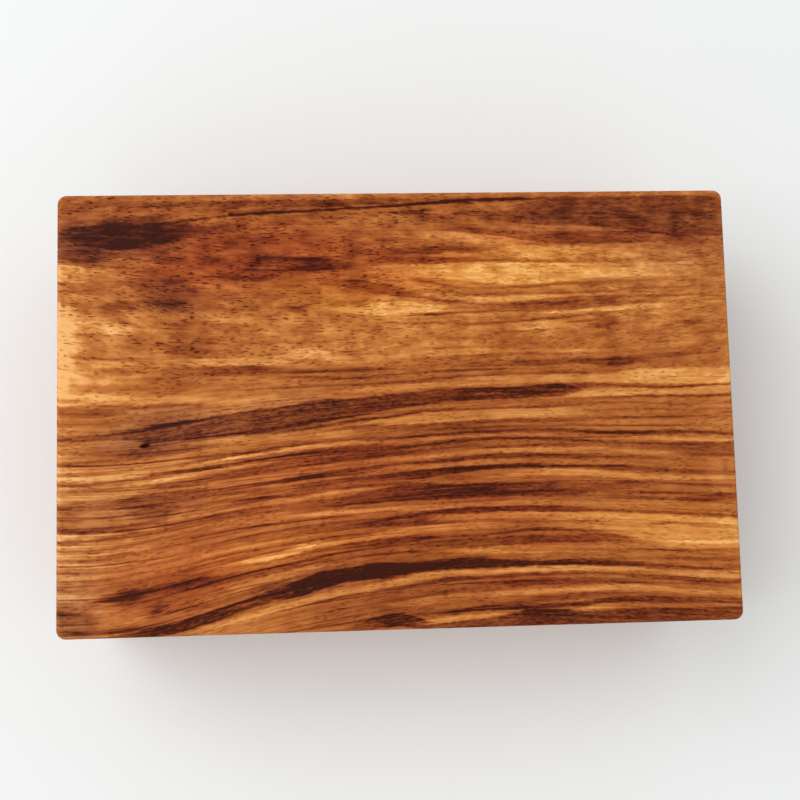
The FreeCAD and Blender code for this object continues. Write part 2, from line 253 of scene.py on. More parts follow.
def wall_wood(name, lengthwise, seed):
    """One wall's wood. Its figure runs on over the saw cut, and thin glue lines show at its joints."""
    material, root, (x, y, z), facing = start_wood(name)
    along, deep = (x, y) if lengthwise else (y, x)
    sweep = root.noise(along / 150 + seed, z / 90, seed, 1)
    level = z + sweep * 22 + root.noise(along / 30, z / 4, seed) * 1.2
    tone, relief, pit = sawn_wood(along + seed * 57, level, deep + seed * 31, bands=0.3, lines=0.14,
                                  fibres=0.34, mottle=0.25, pores=0.18)
    from_corner = (HALF_LENGTH - abs(x)) + (HALF_WIDTH - abs(y))
    from_mitre = abs((HALF_LENGTH - abs(x)) - (HALF_WIDTH - abs(y)))
    mitre_end = 2 * WALL_THICKNESS
    glue = (1 - from_mitre.ease(*MITRE_GLUE)) * (1 - from_corner.ease(mitre_end, mitre_end + 1))
    seam = 1 - abs(z - TOP_JOINT).ease(*TOP_GLUE)
    upright = 1 - abs(facing[2]).ease(0.8, 0.95)
    # painted shade in the gap between lid and base, on the upright faces only
    parting_shade = (1 - abs(z - PARTING).ease(*PARTING_SHADE_LINE)) * upright
    arris = 3 - from_corner.ease(0.8, 5.0) - abs(z - PARTING).ease(0.3, 1.1) - z.ease(0.3, 1.5)
    worn = arris * (root.noise(along / 4, z / 4, deep / 4, 3) + 0.45)
    red = root.noise(along / 40, level / 9, seed, 1).ease(-0.15, 0.3) * 0.6
    drawn = along + root.noise(along / 24, level / 0.8, seed) * 14
    edge = level + root.noise(along / 3, level / 0.8, deep / 3, 2) * 0.9
    heart = root.noise(drawn / 170 + seed * 11, edge / 5, seed, 1).ease(0.10, 0.16)
    vein = abs(root.noise(drawn / 230, edge / 2.6, seed + 4, 0))
    gold = root.noise(drawn / 140, edge / 3.0, seed + 8, 1).ease(0.02, 0.2)
    tone = tone - heart * 0.36 - (1 - vein.ease(0.0, 0.05)) * 0.2 + gold * 0.24
    tone = tone + WALL_TONE + worn * 0.12 - glue * GLUE_SHADE - seam * 0.25 - parting_shade * 0.6
    return oiled(material, tone, red, relief, pit, worn, gold=gold * 0.4)


WALLS = {
    "front": wall_wood("hardwood_front", True, 1.0),
    "right": wall_wood("hardwood_right", False, 2.0),
    "back": wall_wood("hardwood_back", True, 3.0),
    "left": wall_wood("hardwood_left", False, 4.0),
}
for side, wood in WALLS.items():
    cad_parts[f"lid_wall_{side}"].material_slots[0].material = wood
    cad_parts[f"base_rim_{side}"].material_slots[0].material = wood


# ---- Bottom board ------------------------------------------------------------------------------------
# The floor of the base: one flat board of the same timber, cut from a plainer part of the log. A tongue
# round its edge stands dry in the rim's groove, so that it can swell without opening the mitres.

# Plain heartwood, browner and more even than the figured boards.
PLAIN_HEARTWOOD = (
    (0.00, shade(70, 28, 12)), (0.25, shade(120, 62, 30)), (0.50, shade(158, 94, 50)),
    (0.75, shade(188, 124, 72)), (1.00, shade(218, 160, 104)),
)
FLOOR_TONE = 0.52
UPRIGHT_TONE = 0.54
RUBBED_DEPTH = 3.0           # how far down from its top edge an upright board is rubbed


def plain_wood(name, lengthwise, seed, top=None):
    """The wood of a board that is seldom seen: even, and straight in the grain.

    A board with a top edge stands upright. It is mitred to its neighbours and rubbed paler up there.
    """
    material, root, (x, y, z), _ = start_wood(name)
    along, across = (x, y) if lengthwise else (y, x)
    face, deep = (z, across) if top else (across, z)
    sway = root.noise(along / 80 + seed, face / 50, seed, 1)
    level = face + sway * 12 + root.noise(along / 25, face / 3, seed) * 1.2
    tone, relief, pit = sawn_wood(along + seed * 43, level, deep + seed * 29, bands=0.3, lines=0.14,
                                  fibres=0.34, mottle=0.05, pores=0.24)
    red = root.noise(along / 50, level / 12, seed, 1).ease(-0.1, 0.3) * 0.35
    if top:
        rubbed = z.ease(top - RUBBED_DEPTH, top) * (root.noise(along / 3, deep / 2, z / 2, 3) + 0.6)
        from_mitre = abs((HALF_LENGTH - abs(x)) - (HALF_WIDTH - abs(y)))
        glue = 1 - from_mitre.ease(*MITRE_GLUE)
        tone = tone + UPRIGHT_TONE + rubbed * 0.16 - glue * GLUE_SHADE
    else:
        rubbed = root.noise(along / 12, face / 5, deep / 5, 3).ease(-0.1, 0.25)
        tone = tone + FLOOR_TONE + rubbed * 0.06
    return oiled(material, tone, red, relief, pit, rubbed, satin=0.55, ramp=PLAIN_HEARTWOOD)


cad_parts["base_bottom_board"].material_slots[0].material = plain_wood("plain_bottom", True, 5.0)


# ---- Corner keys -------------------------------------------------------------------------------------
# Thin triangular slips of dark wood glued into saw kerfs across each mitre and trimmed flush: three in
# each corner of the lid, and one in each corner of the rim. They hold the mitres, and show as short
# dark dashes that turn the corner.

KEY_LEG = 9.0                # along each face from the corner
KEY_THICKNESS = 1.2
BOX_CORNER = 2.5             # radius of the box's upright corners
CORNER_STEPS = 7             # how finely that corner is turned
WELD = 0.01                  # points nearer than this are one
KEY_TONE = 0.42
KEY_WOOD = (
    (0.00, shade(20, 9, 6)), (0.35, shade(44, 21, 13)), (0.65, shade(70, 36, 22)),
    (1.00, shade(104, 62, 40)),
)


def dark_wood(name):
    """The dense dark wood of the slips, with its grain running across the mitre."""
    material, root, (x, y, z), _ = start_wood(name)
    along = (HALF_LENGTH - abs(x)) - (HALF_WIDTH - abs(y))
    level = z * 2 + root.noise(along / 9, z / 2, 7.0) * 1.5
    tone, relief, pit = sawn_wood(along, level, abs(x) + abs(y), bands=0.4, lines=0.1, fibres=0.5,
                                  pores=0.2)
    worn = root.noise(x / 2, y / 2, z / 2, 2).ease(0.0, 0.3)
    tone = tone + KEY_TONE + worn * 0.1
    return oiled(material, tone, worn * 0.2, relief, pit, worn, satin=0.42, ramp=KEY_WOOD)


def grown(name, sizes, wood, make):
    """A piece that a node tree makes from named sizes, turned into one plain mesh."""
    tree = bpy.data.node_groups.new(name, "GeometryNodeTree")
    kinds = {float: "NodeSocketFloat", int: "NodeSocketInt"}
    inputs = {key: tree.interface.new_socket(key, in_out="INPUT", socket_type=kinds[type(value)])
              for key, value in sizes.items()}
    inputs["Wood"] = tree.interface.new_socket("Wood", in_out="INPUT", socket_type="NodeSocketMaterial")
    tree.interface.new_socket("Piece", in_out="OUTPUT", socket_type="NodeSocketGeometry")
    entry = Term(tree).node("NodeGroupInput")
    shape = make(Term(tree), {key: entry.other(key) for key in sizes})
    shape = shape.node("GeometryNodeRealizeInstances", None, {"Geometry": shape})
    shape = shape.node("GeometryNodeSetMaterial", None,
                       {"Geometry": shape, "Material": entry.other("Wood")})
    shape.node("NodeGroupOutput", None, {"Piece": shape})
    piece = bpy.data.objects.new(name, bpy.data.meshes.new(name))
    bpy.context.scene.collection.objects.link(piece)
    growth = piece.modifiers.new("shape", "NODES")
    growth.node_group = tree
    for key, value in {**sizes, "Wood": wood}.items():
        growth[inputs[key].identifier] = value
    finished = piece.evaluated_get(bpy.context.evaluated_depsgraph_get())
    mesh = bpy.data.meshes.new_from_object(finished)
    piece.modifiers.remove(growth)
    mesh.materials.pop(index=0)      # the empty slot that comes before the tree's own
    piece.data = mesh
    return piece


def key_slips(root, size):
    """One slip, set at every corner of the box and repeated upwards."""
    leg = size["Leg"]
    outline = root.node("GeometryNodeCurvePrimitiveQuadrilateral", {"mode": "POINTS"}, {
        "Point 1": root.vector(0.0, 0.0, 0.0),
        "Point 2": root.vector(-leg, 0.0, 0.0),
        "Point 3": root.vector(leg * -0.5, leg * -0.5, 0.0),
        "Point 4": root.vector(0.0, -leg, 0.0)})
    at_corner = 1 - root.node("GeometryNodeInputIndex")
    outline = root.node("GeometryNodeFilletCurve", {"mode": "POLY"}, {
        "Curve": outline, "Count": CORNER_STEPS,
        "Radius": at_corner.limit(0.0, 1.0) * size["Corner Radius"]})
    under = root.node("GeometryNodeFillCurve", {"mode": "NGONS"}, {"Curve": outline})
    upper = root.node("GeometryNodeExtrudeMesh", {"mode": "FACES"}, {
        "Mesh": under, "Offset": root.vector(0.0, 0.0, size["Thickness"]), "Individual": False})
    under = root.node("GeometryNodeFlipFaces", None, {"Mesh": under})
    slip = root.node("GeometryNodeJoinGeometry", None, {"Geometry": [upper, under]})
    slip = root.node("GeometryNodeMergeByDistance", None, {"Geometry": slip, "Distance": WELD * MM})
    index = root.node("GeometryNodeInputIndex")
    corner = index.math("MODULO", index, 4.0)
    layer = index.math("FLOOR", (index + 0.5) * 0.25)
    turn = corner * (math.pi / 2)
    diagonal = turn + math.pi / 4
    places = root.node("GeometryNodePoints", None, {
        "Count": size["Layers"] * 4,
        "Position": root.vector(turn.math("COSINE", diagonal) * math.sqrt(2) * size["Half Length"],
                                turn.math("SINE", diagonal) * math.sqrt(2) * size["Half Width"],
                                size["Lowest"] + layer * size["Pitch"])})
    return root.node("GeometryNodeInstanceOnPoints", None, {
        "Points": places, "Instance": slip, "Rotation": root.vector(0.0, 0.0, turn)})


key_wood = dark_wood("dark_key_wood")
CORNERS = ("front_right", "back_right", "back_left", "front_left")
LID_LAYERS = ("lower", "middle", "upper")
lowest_lid_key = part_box("lid_key_front_left_lower")[0].z
KEY_SIZES = {
    "Half Length": HALF_LENGTH * MM,
    "Half Width": HALF_WIDTH * MM,
    "Corner Radius": BOX_CORNER * MM,
    "Leg": KEY_LEG * MM,
    "Thickness": KEY_THICKNESS * MM,
    "Pitch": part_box("lid_key_front_left_middle")[0].z - lowest_lid_key,
}
lid_keys = grown("lid_keys", {**KEY_SIZES, "Lowest": lowest_lid_key, "Layers": len(LID_LAYERS)},
                 key_wood, key_slips)
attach(lid_keys, "lid")
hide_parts(*[f"lid_key_{corner}_{layer}" for corner in CORNERS for layer in LID_LAYERS])

base_keys = grown("base_keys", {**KEY_SIZES, "Lowest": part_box("base_key_front_left")[0].z, "Layers": 1},
                  key_wood, key_slips)
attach(base_keys, "base")
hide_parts(*[f"base_key_{corner}" for corner in CORNERS])


# ---- Lining ------------------------------------------------------------------------------------------
# Four thinner boards, mitred to each other and glued inside the rim on top of the bottom board. They
# stand up into the lid and guide it down. Their top edges are rounded and eased so the lid finds its
# way, and rub a little paler there than on their faces.

LINING_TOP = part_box("lining_front")[1].z / MM
LINING = {
    "front": plain_wood("plain_front", True, 6.0, LINING_TOP),
    "right": plain_wood("plain_right", False, 7.0, LINING_TOP),
    "back": plain_wood("plain_back", True, 8.0, LINING_TOP),
    "left": plain_wood("plain_left", False, 9.0, LINING_TOP),
}
for side, wood in LINING.items():
    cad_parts[f"lining_{side}"].material_slots[0].material = wood


# ---- Top board ---------------------------------------------------------------------------------------
# The show board of the box: one piece of strongly figured hardwood glued over the whole lid, with dark
# heart bands that arch across it, a pale left end made paler still by painted sheen, and a pin knot. It
# is planed by hand to a barely crowned face with softened edges, and a field is left underneath that
# drops between the walls.

TOP_ARRIS = 1.2
TOP_CROWN = 0.08
FIELD_CHAMFER = 0.6
PLANE_MARKS = 0.06           # how deep the plane's soft waves are
TOP_TONE = 0.575
KNOT_X = -69.0               # middle of the pin knot
KNOT_Y = -9.2
KNOT_SLANT = 0.12            # how much it rises along its length
KNOT_DEPTH = 0.9
KNOT_HALF_LENGTH = 1.3       # of its dark heart
KNOT_HALF_WIDTH = 0.5
CREST = 125.0                # where the growth lines of the near half stand highest
FIGURE_SPREAD = 1.01         # the figure below is drawn out by this from the middle of the board
FIGURE_DROP = 0.35           # and lies this much nearer

# The figure is laid out in millimetres from the far left corner of the board. A band is a row
# of places along it: how far along and across the board, half its width there, and how strong it is.
DARK_BANDS = (
    # far edge: a brown stripe, the fine black vein and the two heart patches
    ((10, 3.0, 0.8, .10), (30, 3.1, 0.8, .14), (50, 3.2, 0.9, .20), (75, 3.2, 1.0, .24),
     (92, 2.6, 0.8, .2)),
    ((26, 8.4, .2, .2), (32, 8.1, .25, .4), (40, 7.2, .25, .46), (50, 6.2, .3, .64), (60, 5.7, .38, .78),
     (70, 5.3, .34, .74), (80, 4.8, .3, .64), (90, 4.3, .3, .66), (100, 3.5, .36, .78),
     (110, 2.9, .4, .8), (120, 2.6, .4, .74), (130, 2.4, .35, .54), (142, 2.2, .3, .34)),
    ((46, 6.0, .5, .12), (60, 4.9, .9, .2), (76, 4.2, .9, .2), (90, 3.8, .6, .15)),
    ((0, 13, 2.2, .16), (5, 12, 2.6, .24), (11, 11.8, 3.0, .3), (18, 12.4, 3.4, .32),
     (25, 11.8, 3.2, .28), (31, 11, 2.6, .2), (38, 10.3, 1.8, .12)),
    ((9, 8.2, .8, .14), (16, 7.9, 1.1, .26), (24, 7.6, 1.3, .28), (32, 7.7, 1.0, .2)),
    ((0, 17, 1.6, .16), (6, 17.3, 1.9, .24), (13, 17.4, 1.3, .18)),
    ((110, 5.2, 1.6, .16), (113, 5.0, 1.6, .2), (120, 7.6, 1.0, .15), (127, 6.8, 2.8, .3),
     (134, 6.3, 3.6, .36), (142, 6.2, 3.8, .38), (150, 6.4, 4.4, .4), (158, 6.8, 4.8, .42),
     (167, 7.4, 5.6, .38), (176, 7.8, 5.8, .36), (184, 8.0, 5.4, .26)),
    ((108, 10.9, .5, .18), (118, 11.8, .8, .24), (128, 12.8, 1.3, .28), (140, 13.3, 1.6, .28),
     (152, 13.2, 1.6, .3), (164, 13.6, 1.4, .26), (176, 15, 1.6, .16)),
    ((128, 15.1, .3, .15), (138, 15.1, .4, .3), (146, 15, .4, .36), (156, 15, .35, .3)),
    # reddish mottle
    ((26, 9.5, 1.0, .12), (40, 10.3, 1.2, .14), (54, 9.6, 1.2, .14), (66, 8.6, .8, .1)),
    ((44, 13.6, 1.6, .1), (54, 13.8, 2.2, .16), (62, 14.6, 1.4, .1)),
    ((28, 18.6, 1.0, .14), (40, 19.2, 1.6, .16), (52, 19.2, 2.4, .2), (60, 19.6, 2.2, .24),
     (66, 20.0, 2.0, .26), (71, 20.4, 1.9, .3), (76, 20.2, 1.3, .22), (84, 20.6, .7, .14)),
    ((46, 22.9, 1.4, .16), (56, 23.2, 1.6, .2), (64, 22.8, .8, .12)),
    ((58, 18.4, .4, .16), (68, 18.5, .5, .24), (78, 18.5, .5, .2)),
    ((78, 17.6, .7, .12), (88, 16.8, .9, .22), (98, 16.7, 1.0, .3), (108, 16.5, .9, .34),
     (115, 16.7, .7, .28)),
    ((88, 19.2, .8, .18), (98, 19.5, 1.0, .3), (108, 19.5, .8, .34), (114, 19.4, .6, .3),
     (121, 19.9, .4, .2), (130, 20.2, .35, .26), (142, 20.3, .3, .18)),
    ((76, 25.2, .7, .16), (80, 25.8, 1.3, .34), (84, 26.4, 1.6, .4), (88, 27.2, 1.4, .34),
     (93, 28.2, 1.3, .36), (97, 29.2, .7, .22), (104, 30.6, .45, .38), (111, 31.5, .35, .32),
     (121, 31.9, .35, .32), (130, 31.6, .6, .3), (138, 31.1, .9, .3), (148, 30.5, .8, .26),
     (160, 30.2, .45, .24), (172, 30, .35, .32), (184, 30.4, .3, .26)),
    # golden middle: fine lines
    ((95, 25, .3, .22), (101, 25.4, .35, .26), (107, 26.7, .35, .26), (114, 27.4, .3, .24),
     (123, 27.2, .3, .24)),
    ((101, 27.6, .3, .2), (108, 28.5, .35, .26), (115, 29.2, .3, .3), (125, 29, .3, .22),
     (137, 29, .3, .26), (149, 28.6, .3, .24), (163, 27.7, .35, .26), (178, 27.6, .3, .18)),
    ((128, 27, .45, .24), (136, 26.4, .45, .28), (147, 26.2, .35, .24), (158, 25.8, .3, .14)),
    ((94, 34.3, .3, .24), (99, 34.4, .3, .4), (103, 34.4, .4, .62), (107, 34.2, .3, .26),
     (118, 33.9, .3, .26)),
    ((113, 32.6, .6, .16), (121, 32.9, 1.0, .24), (132, 32.9, 1.3, .3), (142, 32.5, 1.3, .32),
     (150, 32, .9, .26), (158, 31.6, .5, .14)),
    ((94, 36.8, .3, .26), (105, 36.9, .35, .28), (116, 37.2, .3, .3), (124, 36.8, .3, .3),
     (132, 36.1, .35, .44), (140, 35.6, .3, .44), (146, 35.2, .25, .26)),
    ((50, 21.2, .3, .1), (30, 21.2, .3, .1)),
    # pale left end and the strips before the first band
    ((0, 26.8, .3, .14), (8, 26.8, .3, .14), (18, 25.2, .3, .14)),
    ((6, 45.2, .3, .16), (14, 45.3, .3, .2), (24, 45.4, .3, .2), (30, 45.6, .3, .14)),
    ((5, 48.6, .35, .14), (13, 48.4, .35, .22), (22, 48.8, .5, .18), (32, 49, .9, .18),
     (42, 49, 1.1, .26), (48, 48.8, 1.2, .4), (54, 48.8, 1.1, .4), (61, 49.2, .9, .3),
     (70, 49.4, .7, .24), (84, 49.2, .45, .2)),
    ((24, 53, 1.2, .14), (30, 53.4, 2.2, .16), (37, 52.6, 1.6, .14)),
    ((0, 52.6, .3, .14), (9, 52.5, .35, .16), (18, 52.3, .3, .1)),
    ((66, 51.1, .3, .24), (76, 51.6, .35, .28), (86, 51.4, .35, .3), (95, 50.6, .3, .2),
     (104, 50, .35, .36), (114, 49.9, .35, .3), (122, 49.8, .3, .24)),
    ((56, 54.1, .3, .2), (66, 53.7, .3, .26), (78, 53.4, .35, .28), (90, 52.9, .3, .26),
     (103, 52, .35, .34), (113, 51.5, .3, .28), (124, 51.1, .3, .28), (131, 51, .3, .3),
     (138, 50.9, .4, .44), (145, 51.4, .3, .16)),
    ((98, 46.8, .3, .16), (110, 46.1, .3, .26), (124, 45.7, .3, .26), (138, 46, .3, .18)),
    ((112, 48.6, .5, .2), (122, 48.2, .8, .3), (131, 48.3, .8, .26), (139, 47.8, .8, .26),
     (146, 48.1, .9, .34), (152, 48.3, 1.3, .44), (157, 47.8, 1.2, .34), (163, 46.9, .8, .24),
     (172, 46.4, .5, .2)),
    ((146, 54.6, .4, .28), (156, 55.1, .35, .34), (166, 55.6, .35, .42), (175, 55.2, .35, .36),
     (184, 54.8, .35, .26)),
    ((148, 58.2, .3, .22), (157, 57.9, .35, .4), (162, 57.9, .4, .5), (170, 58.1, .35, .42),
     (177, 58.2, .4, .52), (184, 57.9, .3, .3)),
    ((132, 59.5, .3, .22), (142, 59.4, .3, .26), (156, 59.6, .3, .2), (170, 60.4, .3, .2),
     (184, 60.2, .3, .2)),
    ((10, 57.7, .3, .2), (20, 58.5, .4, .3), (28, 58.3, .35, .22), (38, 58.1, .3, .3),
     (45, 58.2, .25, .14)),
    # first heart band and the sharp line under it
    ((2, 62.4, .8, .16), (10, 62.4, .8, .18), (18, 62.2, 1.0, .2), (26, 61.8, 1.2, .22),
     (36, 61.2, 1.0, .2)),
    ((0, 66.5, .7, .34), (7, 66.6, .7, .36), (14, 66.2, .8, .30), (20, 65.8, 1.6, .41),
     (26, 65.8, 2.2, .52), (33, 65.1, 2.5, .52), (40, 64.2, 2.7, .48), (48, 63.3, 2.9, .48),
     (55, 62.4, 3.0, .51), (62, 61.9, 3.0, .50), (68, 60.8, 3.2, .51), (75, 60, 2.9, .50),
     (82, 59.3, 2.3, .48), (90, 58.3, 2.2, .48), (98, 57.4, 2.0, .48), (106, 56.8, 1.8, .50),
     (114, 56.5, 1.7, .51), (122, 56.4, 1.7, .52), (130, 56, 1.7, .52), (136, 55.8, 1.7, .50)),
    ((138, 54.9, .9, .3), (144, 54.6, .7, .22)),
    ((30, 68.3, .3, .26), (38, 67.2, .4, .44), (45, 66.5, .4, .46), (52, 66, .4, .46),
     (60, 65.6, .4, .42), (66, 65, .4, .38), (72, 64.3, .4, .36), (80, 63.3, .35, .36),
     (90, 62.2, .4, .4), (98, 61, .45, .46), (104, 60.7, .4, .4), (112, 60.5, .3, .34),
     (122, 60.3, .3, .34), (131, 60.4, .35, .38), (137, 60.1, .3, .3)),
    ((0, 70.3, .4, .3), (8, 70.6, .4, .28), (15, 70.7, .9, .24), (22, 70.9, 1.5, .26), (30, 70, 1.7, .22),
     (37, 69.4, 1.0, .16)),
    ((0, 73.4, .5, .3), (8, 73, .5, .26), (18, 72.6, .4, .2)),
    ((64, 66.9, .3, .14), (76, 65.4, .4, .18), (86, 64.9, .8, .2), (96, 65, .7, .22), (106, 64.6, .5, .2),
     (116, 64, .5, .22), (126, 64, .6, .26), (136, 64.1, .6, .3), (144, 63.9, .45, .26),
     (156, 63.8, .4, .3), (168, 63.8, .3, .24), (184, 62.8, .3, .2)),
    ((138, 65.3, .3, .2), (148, 65.7, .35, .3), (160, 66, .35, .26), (172, 66.2, .3, .2)),
    ((146, 61.6, .3, .16), (160, 61.4, .3, .22), (172, 62, .3, .22), (184, 61.6, .3, .18)),
    # lines down to the second band
    ((32, 74, .3, .16), (40, 72.8, .35, .26), (50, 71.2, .4, .32), (60, 69.9, .4, .36),
     (70, 68.9, .35, .3), (80, 68.2, .35, .26), (92, 67.9, .4, .34), (100, 67.4, .4, .38),
     (108, 67, .4, .4), (116, 66.7, .4, .36), (125, 66.5, .35, .34), (135, 66.7, .4, .36),
     (144, 67.3, .45, .42), (152, 67.8, .55, .46), (160, 67.9, .6, .5), (168, 67.9, .5, .5),
     (174, 68.2, .5, .44), (184, 69, .4, .32)),
    ((0, 78.9, .4, .36), (8, 79, .4, .32), (15, 78.3, .3, .26), (24, 77.3, .35, .3), (33, 75.9, .4, .3),
     (42, 75, .4, .34), (50, 73.8, .4, .34), (58, 72.7, .45, .36), (66, 71.6, .5, .36),
     (76, 70.5, .5, .34), (86, 70.3, .5, .28), (94, 70.4, .5, .34), (102, 69.6, .5, .36),
     (110, 69, .45, .38), (120, 68.7, .4, .42), (130, 69, .4, .42), (138, 69.4, .4, .42),
     (145, 70, .35, .36), (156, 70.7, .35, .24), (170, 71.4, .4, .2)),
    ((96, 66, .3, .2), (106, 65.7, .3, .26), (118, 65.5, .3, .24), (130, 65.6, .3, .2)),
    ((28, 79.8, .5, .26), (36, 78.6, .7, .34), (44, 77.5, .9, .38), (52, 76.2, 1.1, .34),
     (60, 75, 1.2, .3), (68, 73.8, 1.4, .34), (76, 72.8, 1.5, .34), (84, 72.3, 1.3, .34),
     (92, 72, .8, .3), (100, 71.3, .5, .28), (109, 70.7, .4, .22), (121, 70.9, .35, .22),
     (132, 70.8, .4, .28), (140, 70.8, .3, .2)),
    ((44, 80.8, .4, .22), (52, 79.9, .5, .32), (60, 79.1, .6, .36), (68, 77.8, .7, .4),
     (75, 76.9, .7, .42), (83, 76, .5, .34), (92, 75, .4, .34), (100, 74.7, .4, .36),
     (107, 74.2, .45, .36), (114, 73.5, .6, .34), (124, 73.5, .8, .28), (134, 73.8, .7, .26),
     (146, 74.2, .5, .22), (160, 74.8, .4, .16)),
    ((158, 71.4, .8, .12), (168, 72.2, 1.5, .2), (176, 72.8, 2.0, .28), (184, 73, 1.8, .26)),
    ((66, 80.2, .5, .2), (76, 79.3, .7, .28), (84, 78.9, .8, .32), (92, 78.2, 1.0, .4),
     (98, 77.9, 1.1, .42), (104, 77.3, .9, .4), (111, 76.7, .7, .48), (117, 76.4, .6, .44),
     (124, 76.3, .5, .4), (130, 76.5, .5, .4), (137, 76.7, .45, .34), (144, 76.9, .5, .3),
     (152, 77.4, .7, .32), (160, 78, .7, .3), (168, 78.7, .6, .26), (184, 79.3, .4, .24)),
    # second heart band, lower left, and the speckled third
    ((8, 84.4, .5, .14), (14, 84.6, 1.0, .2), (20, 84, 1.7, .32), (26, 83.2, 1.9, .36),
     (32, 82.4, 1.6, .32), (40, 81.6, 1.2, .26), (48, 81.4, .9, .24), (58, 81.6, .8, .22),
     (68, 81.2, .6, .24), (80, 80.8, .5, .26), (92, 80.2, .45, .24)),
    ((42, 84, .4, .18), (52, 83.5, .5, .2), (62, 83.1, .4, .22)),
    ((56, 85.6, .8, .14), (66, 85.4, 1.0, .22), (75, 84.9, 1.2, .3), (82, 84.2, 1.7, .34),
     (88, 83.3, 2.0, .36), (94, 82.8, 2.3, .4), (100, 82.7, 2.3, .42), (106, 82.7, 2.1, .46),
     (112, 82.6, 2.0, .46), (118, 82.6, 1.9, .4), (125, 82.6, 1.8, .34), (132, 82.6, 1.7, .3),
     (140, 82.6, 1.5, .28), (148, 82.5, 1.2, .26), (156, 82.2, .7, .22)),
    ((156, 81.3, .4, .3), (164, 81.8, .4, .3), (174, 82.5, .4, .28), (184, 82.9, .4, .22)),
    ((150, 84.1, .35, .22), (160, 84.4, .4, .28), (170, 84.6, .4, .22)),
    ((150, 85.3, .35, .22), (158, 85.6, .4, .3), (167, 86.2, .4, .3), (174, 86, .9, .34),
     (180, 85.8, 1.0, .38), (184, 85.9, .9, .34)),
    ((28, 90.3, .3, .16), (38, 89.3, .35, .22), (48, 87.9, .35, .24), (58, 86.9, .35, .24),
     (66, 86.6, .3, .16)),
    ((45, 94.8, .4, .2), (55, 93, .5, .28), (65, 91.5, .5, .3), (75, 90.5, .5, .3), (84, 89.9, .5, .3),
     (92, 89.3, .5, .34), (98, 88.5, .5, .38), (104, 88.1, .7, .4), (112, 87.8, .8, .4),
     (120, 87.7, .7, .38), (128, 87.9, .8, .36), (136, 88.1, .8, .34), (144, 88.6, .5, .32),
     (152, 89.1, .4, .32), (160, 89.5, .4, .36), (168, 89.9, .4, .36), (176, 90.6, .4, .34),
     (184, 91.3, .4, .34)),
    ((36, 93.4, .3, .18), (46, 91.8, .4, .24), (56, 90.5, .4, .26), (66, 89.4, .4, .26),
     (76, 88.9, .4, .24)),
    ((56, 94.6, .5, .2), (66, 92.9, .6, .26), (76, 91.9, .6, .28), (85, 91.2, .6, .32), (94, 91, .6, .32),
     (103, 90.9, .5, .26)),
    # golden ground
    ((50, 101.2, .4, .16), (58, 99.9, .35, .22), (66, 98.3, .4, .26), (76, 96.8, .6, .26),
     (84, 96.2, .9, .28), (91, 95.6, 1.0, .3), (98, 95.1, .6, .26)),
    ((102, 94.9, .4, .24), (113, 94.7, .4, .26), (121, 93.9, .4, .3), (128, 93.4, .4, .36),
     (137, 93.7, .35, .26), (146, 94.3, .3, .18)),
    ((98, 97, .6, .18), (106, 96.6, .9, .26), (114, 96.6, 1.1, .28), (122, 96.2, 1.2, .32),
     (128, 96, 1.2, .42), (134, 96.2, 1.0, .4), (142, 96.2, 1.1, .38), (148, 96.4, 1.1, .32),
     (154, 97, .9, .22), (160, 98.2, .5, .14)),
    ((144, 91.6, .3, .2), (153, 92.3, .3, .2), (160, 92.8, .35, .3), (166, 92.6, .3, .24),
     (174, 93.7, .3, .3), (184, 94.4, .3, .2)),
    ((124, 91.3, .3, .18), (134, 91.4, .3, .2), (142, 91.6, .25, .14)),
    ((158, 99.5, .3, .2), (168, 100, .35, .24), (184, 100.2, .3, .22)),
    ((150, 101.8, .3, .18), (162, 102, .35, .22), (174, 102.6, .5, .26), (184, 103, .4, .22)),
    ((164, 97, .3, .14), (176, 97.4, .3, .18), (184, 97.2, .3, .16)),
    ((66, 101.4, .3, .14), (76, 100, .35, .16), (88, 98.8, .4, .16), (98, 98.6, .3, .12)),
    # fourth heart band, almost black
    ((11, 120.6, .9, .4), (20, 118.9, 1.1, .56), (26, 118.1, 1.4, .66), (32, 116.9, 1.4, .64),
     (38, 115.1, 1.4, .62), (44, 113.4, 1.6, .6), (50, 111.4, 1.5, .58), (55, 109.8, 1.4, .56),
     (59, 108.6, 1.6, .58), (63, 107.8, 2.1, .63), (67, 106.5, 2.4, .67), (71, 105.4, 2.3, .67),
     (76, 104.4, 1.9, .67), (81, 103.8, 2.0, .67), (86, 103.4, 2.3, .67), (91, 103.1, 1.7, .63),
     (97, 102.8, 1.3, .56), (103, 102.2, 1.3, .54), (109, 101.9, 1.5, .54), (115, 102, 1.2, .54),
     (121, 102.4, .9, .56), (128, 102.5, .7, .56), (135, 102.3, .8, .56), (142, 102.4, .8, .54),
     (148, 102.9, .8, .49), (154, 103.3, .7, .47), (160, 104, .6, .40), (168, 104.7, .45, .36),
     (176, 105.2, .4, .34), (184, 105, .4, .22)),
    ((30, 112.6, .5, .14), (38, 111.6, .7, .18), (47, 109.6, .8, .2), (54, 107.4, .7, .24),
     (59, 106.2, .5, .2)),
    ((90, 108.2, .3, .2), (98, 107, .45, .34), (106, 106.1, .5, .38), (116, 105.8, .4, .36),
     (126, 105.6, .4, .36), (136, 105.4, .4, .38), (146, 105.7, .35, .32), (154, 106.5, .45, .3),
     (163, 107.2, .5, .32), (171, 108, .6, .32), (178, 108.9, .5, .34), (184, 108.8, .5, .3)),
    ((112, 107.4, .5, .16), (121, 107.6, .8, .28), (129, 107.3, 1.0, .38), (136, 107.5, .9, .32),
     (146, 107.6, .8, .26), (156, 108, .6, .2)),
    ((100, 109.6, .35, .2), (108, 109, .35, .26), (118, 109.2, .3, .2)),
    # near edge
    ((116, 112.9, .5, .16), (124, 112.5, .8, .24), (132, 111.8, .9, .3), (142, 111.4, .8, .26),
     (152, 111.2, .5, .2)),
    ((103, 115.1, .3, .22), (109, 114.4, .5, .38), (114, 114, .6, .46), (120, 114.1, .5, .46),
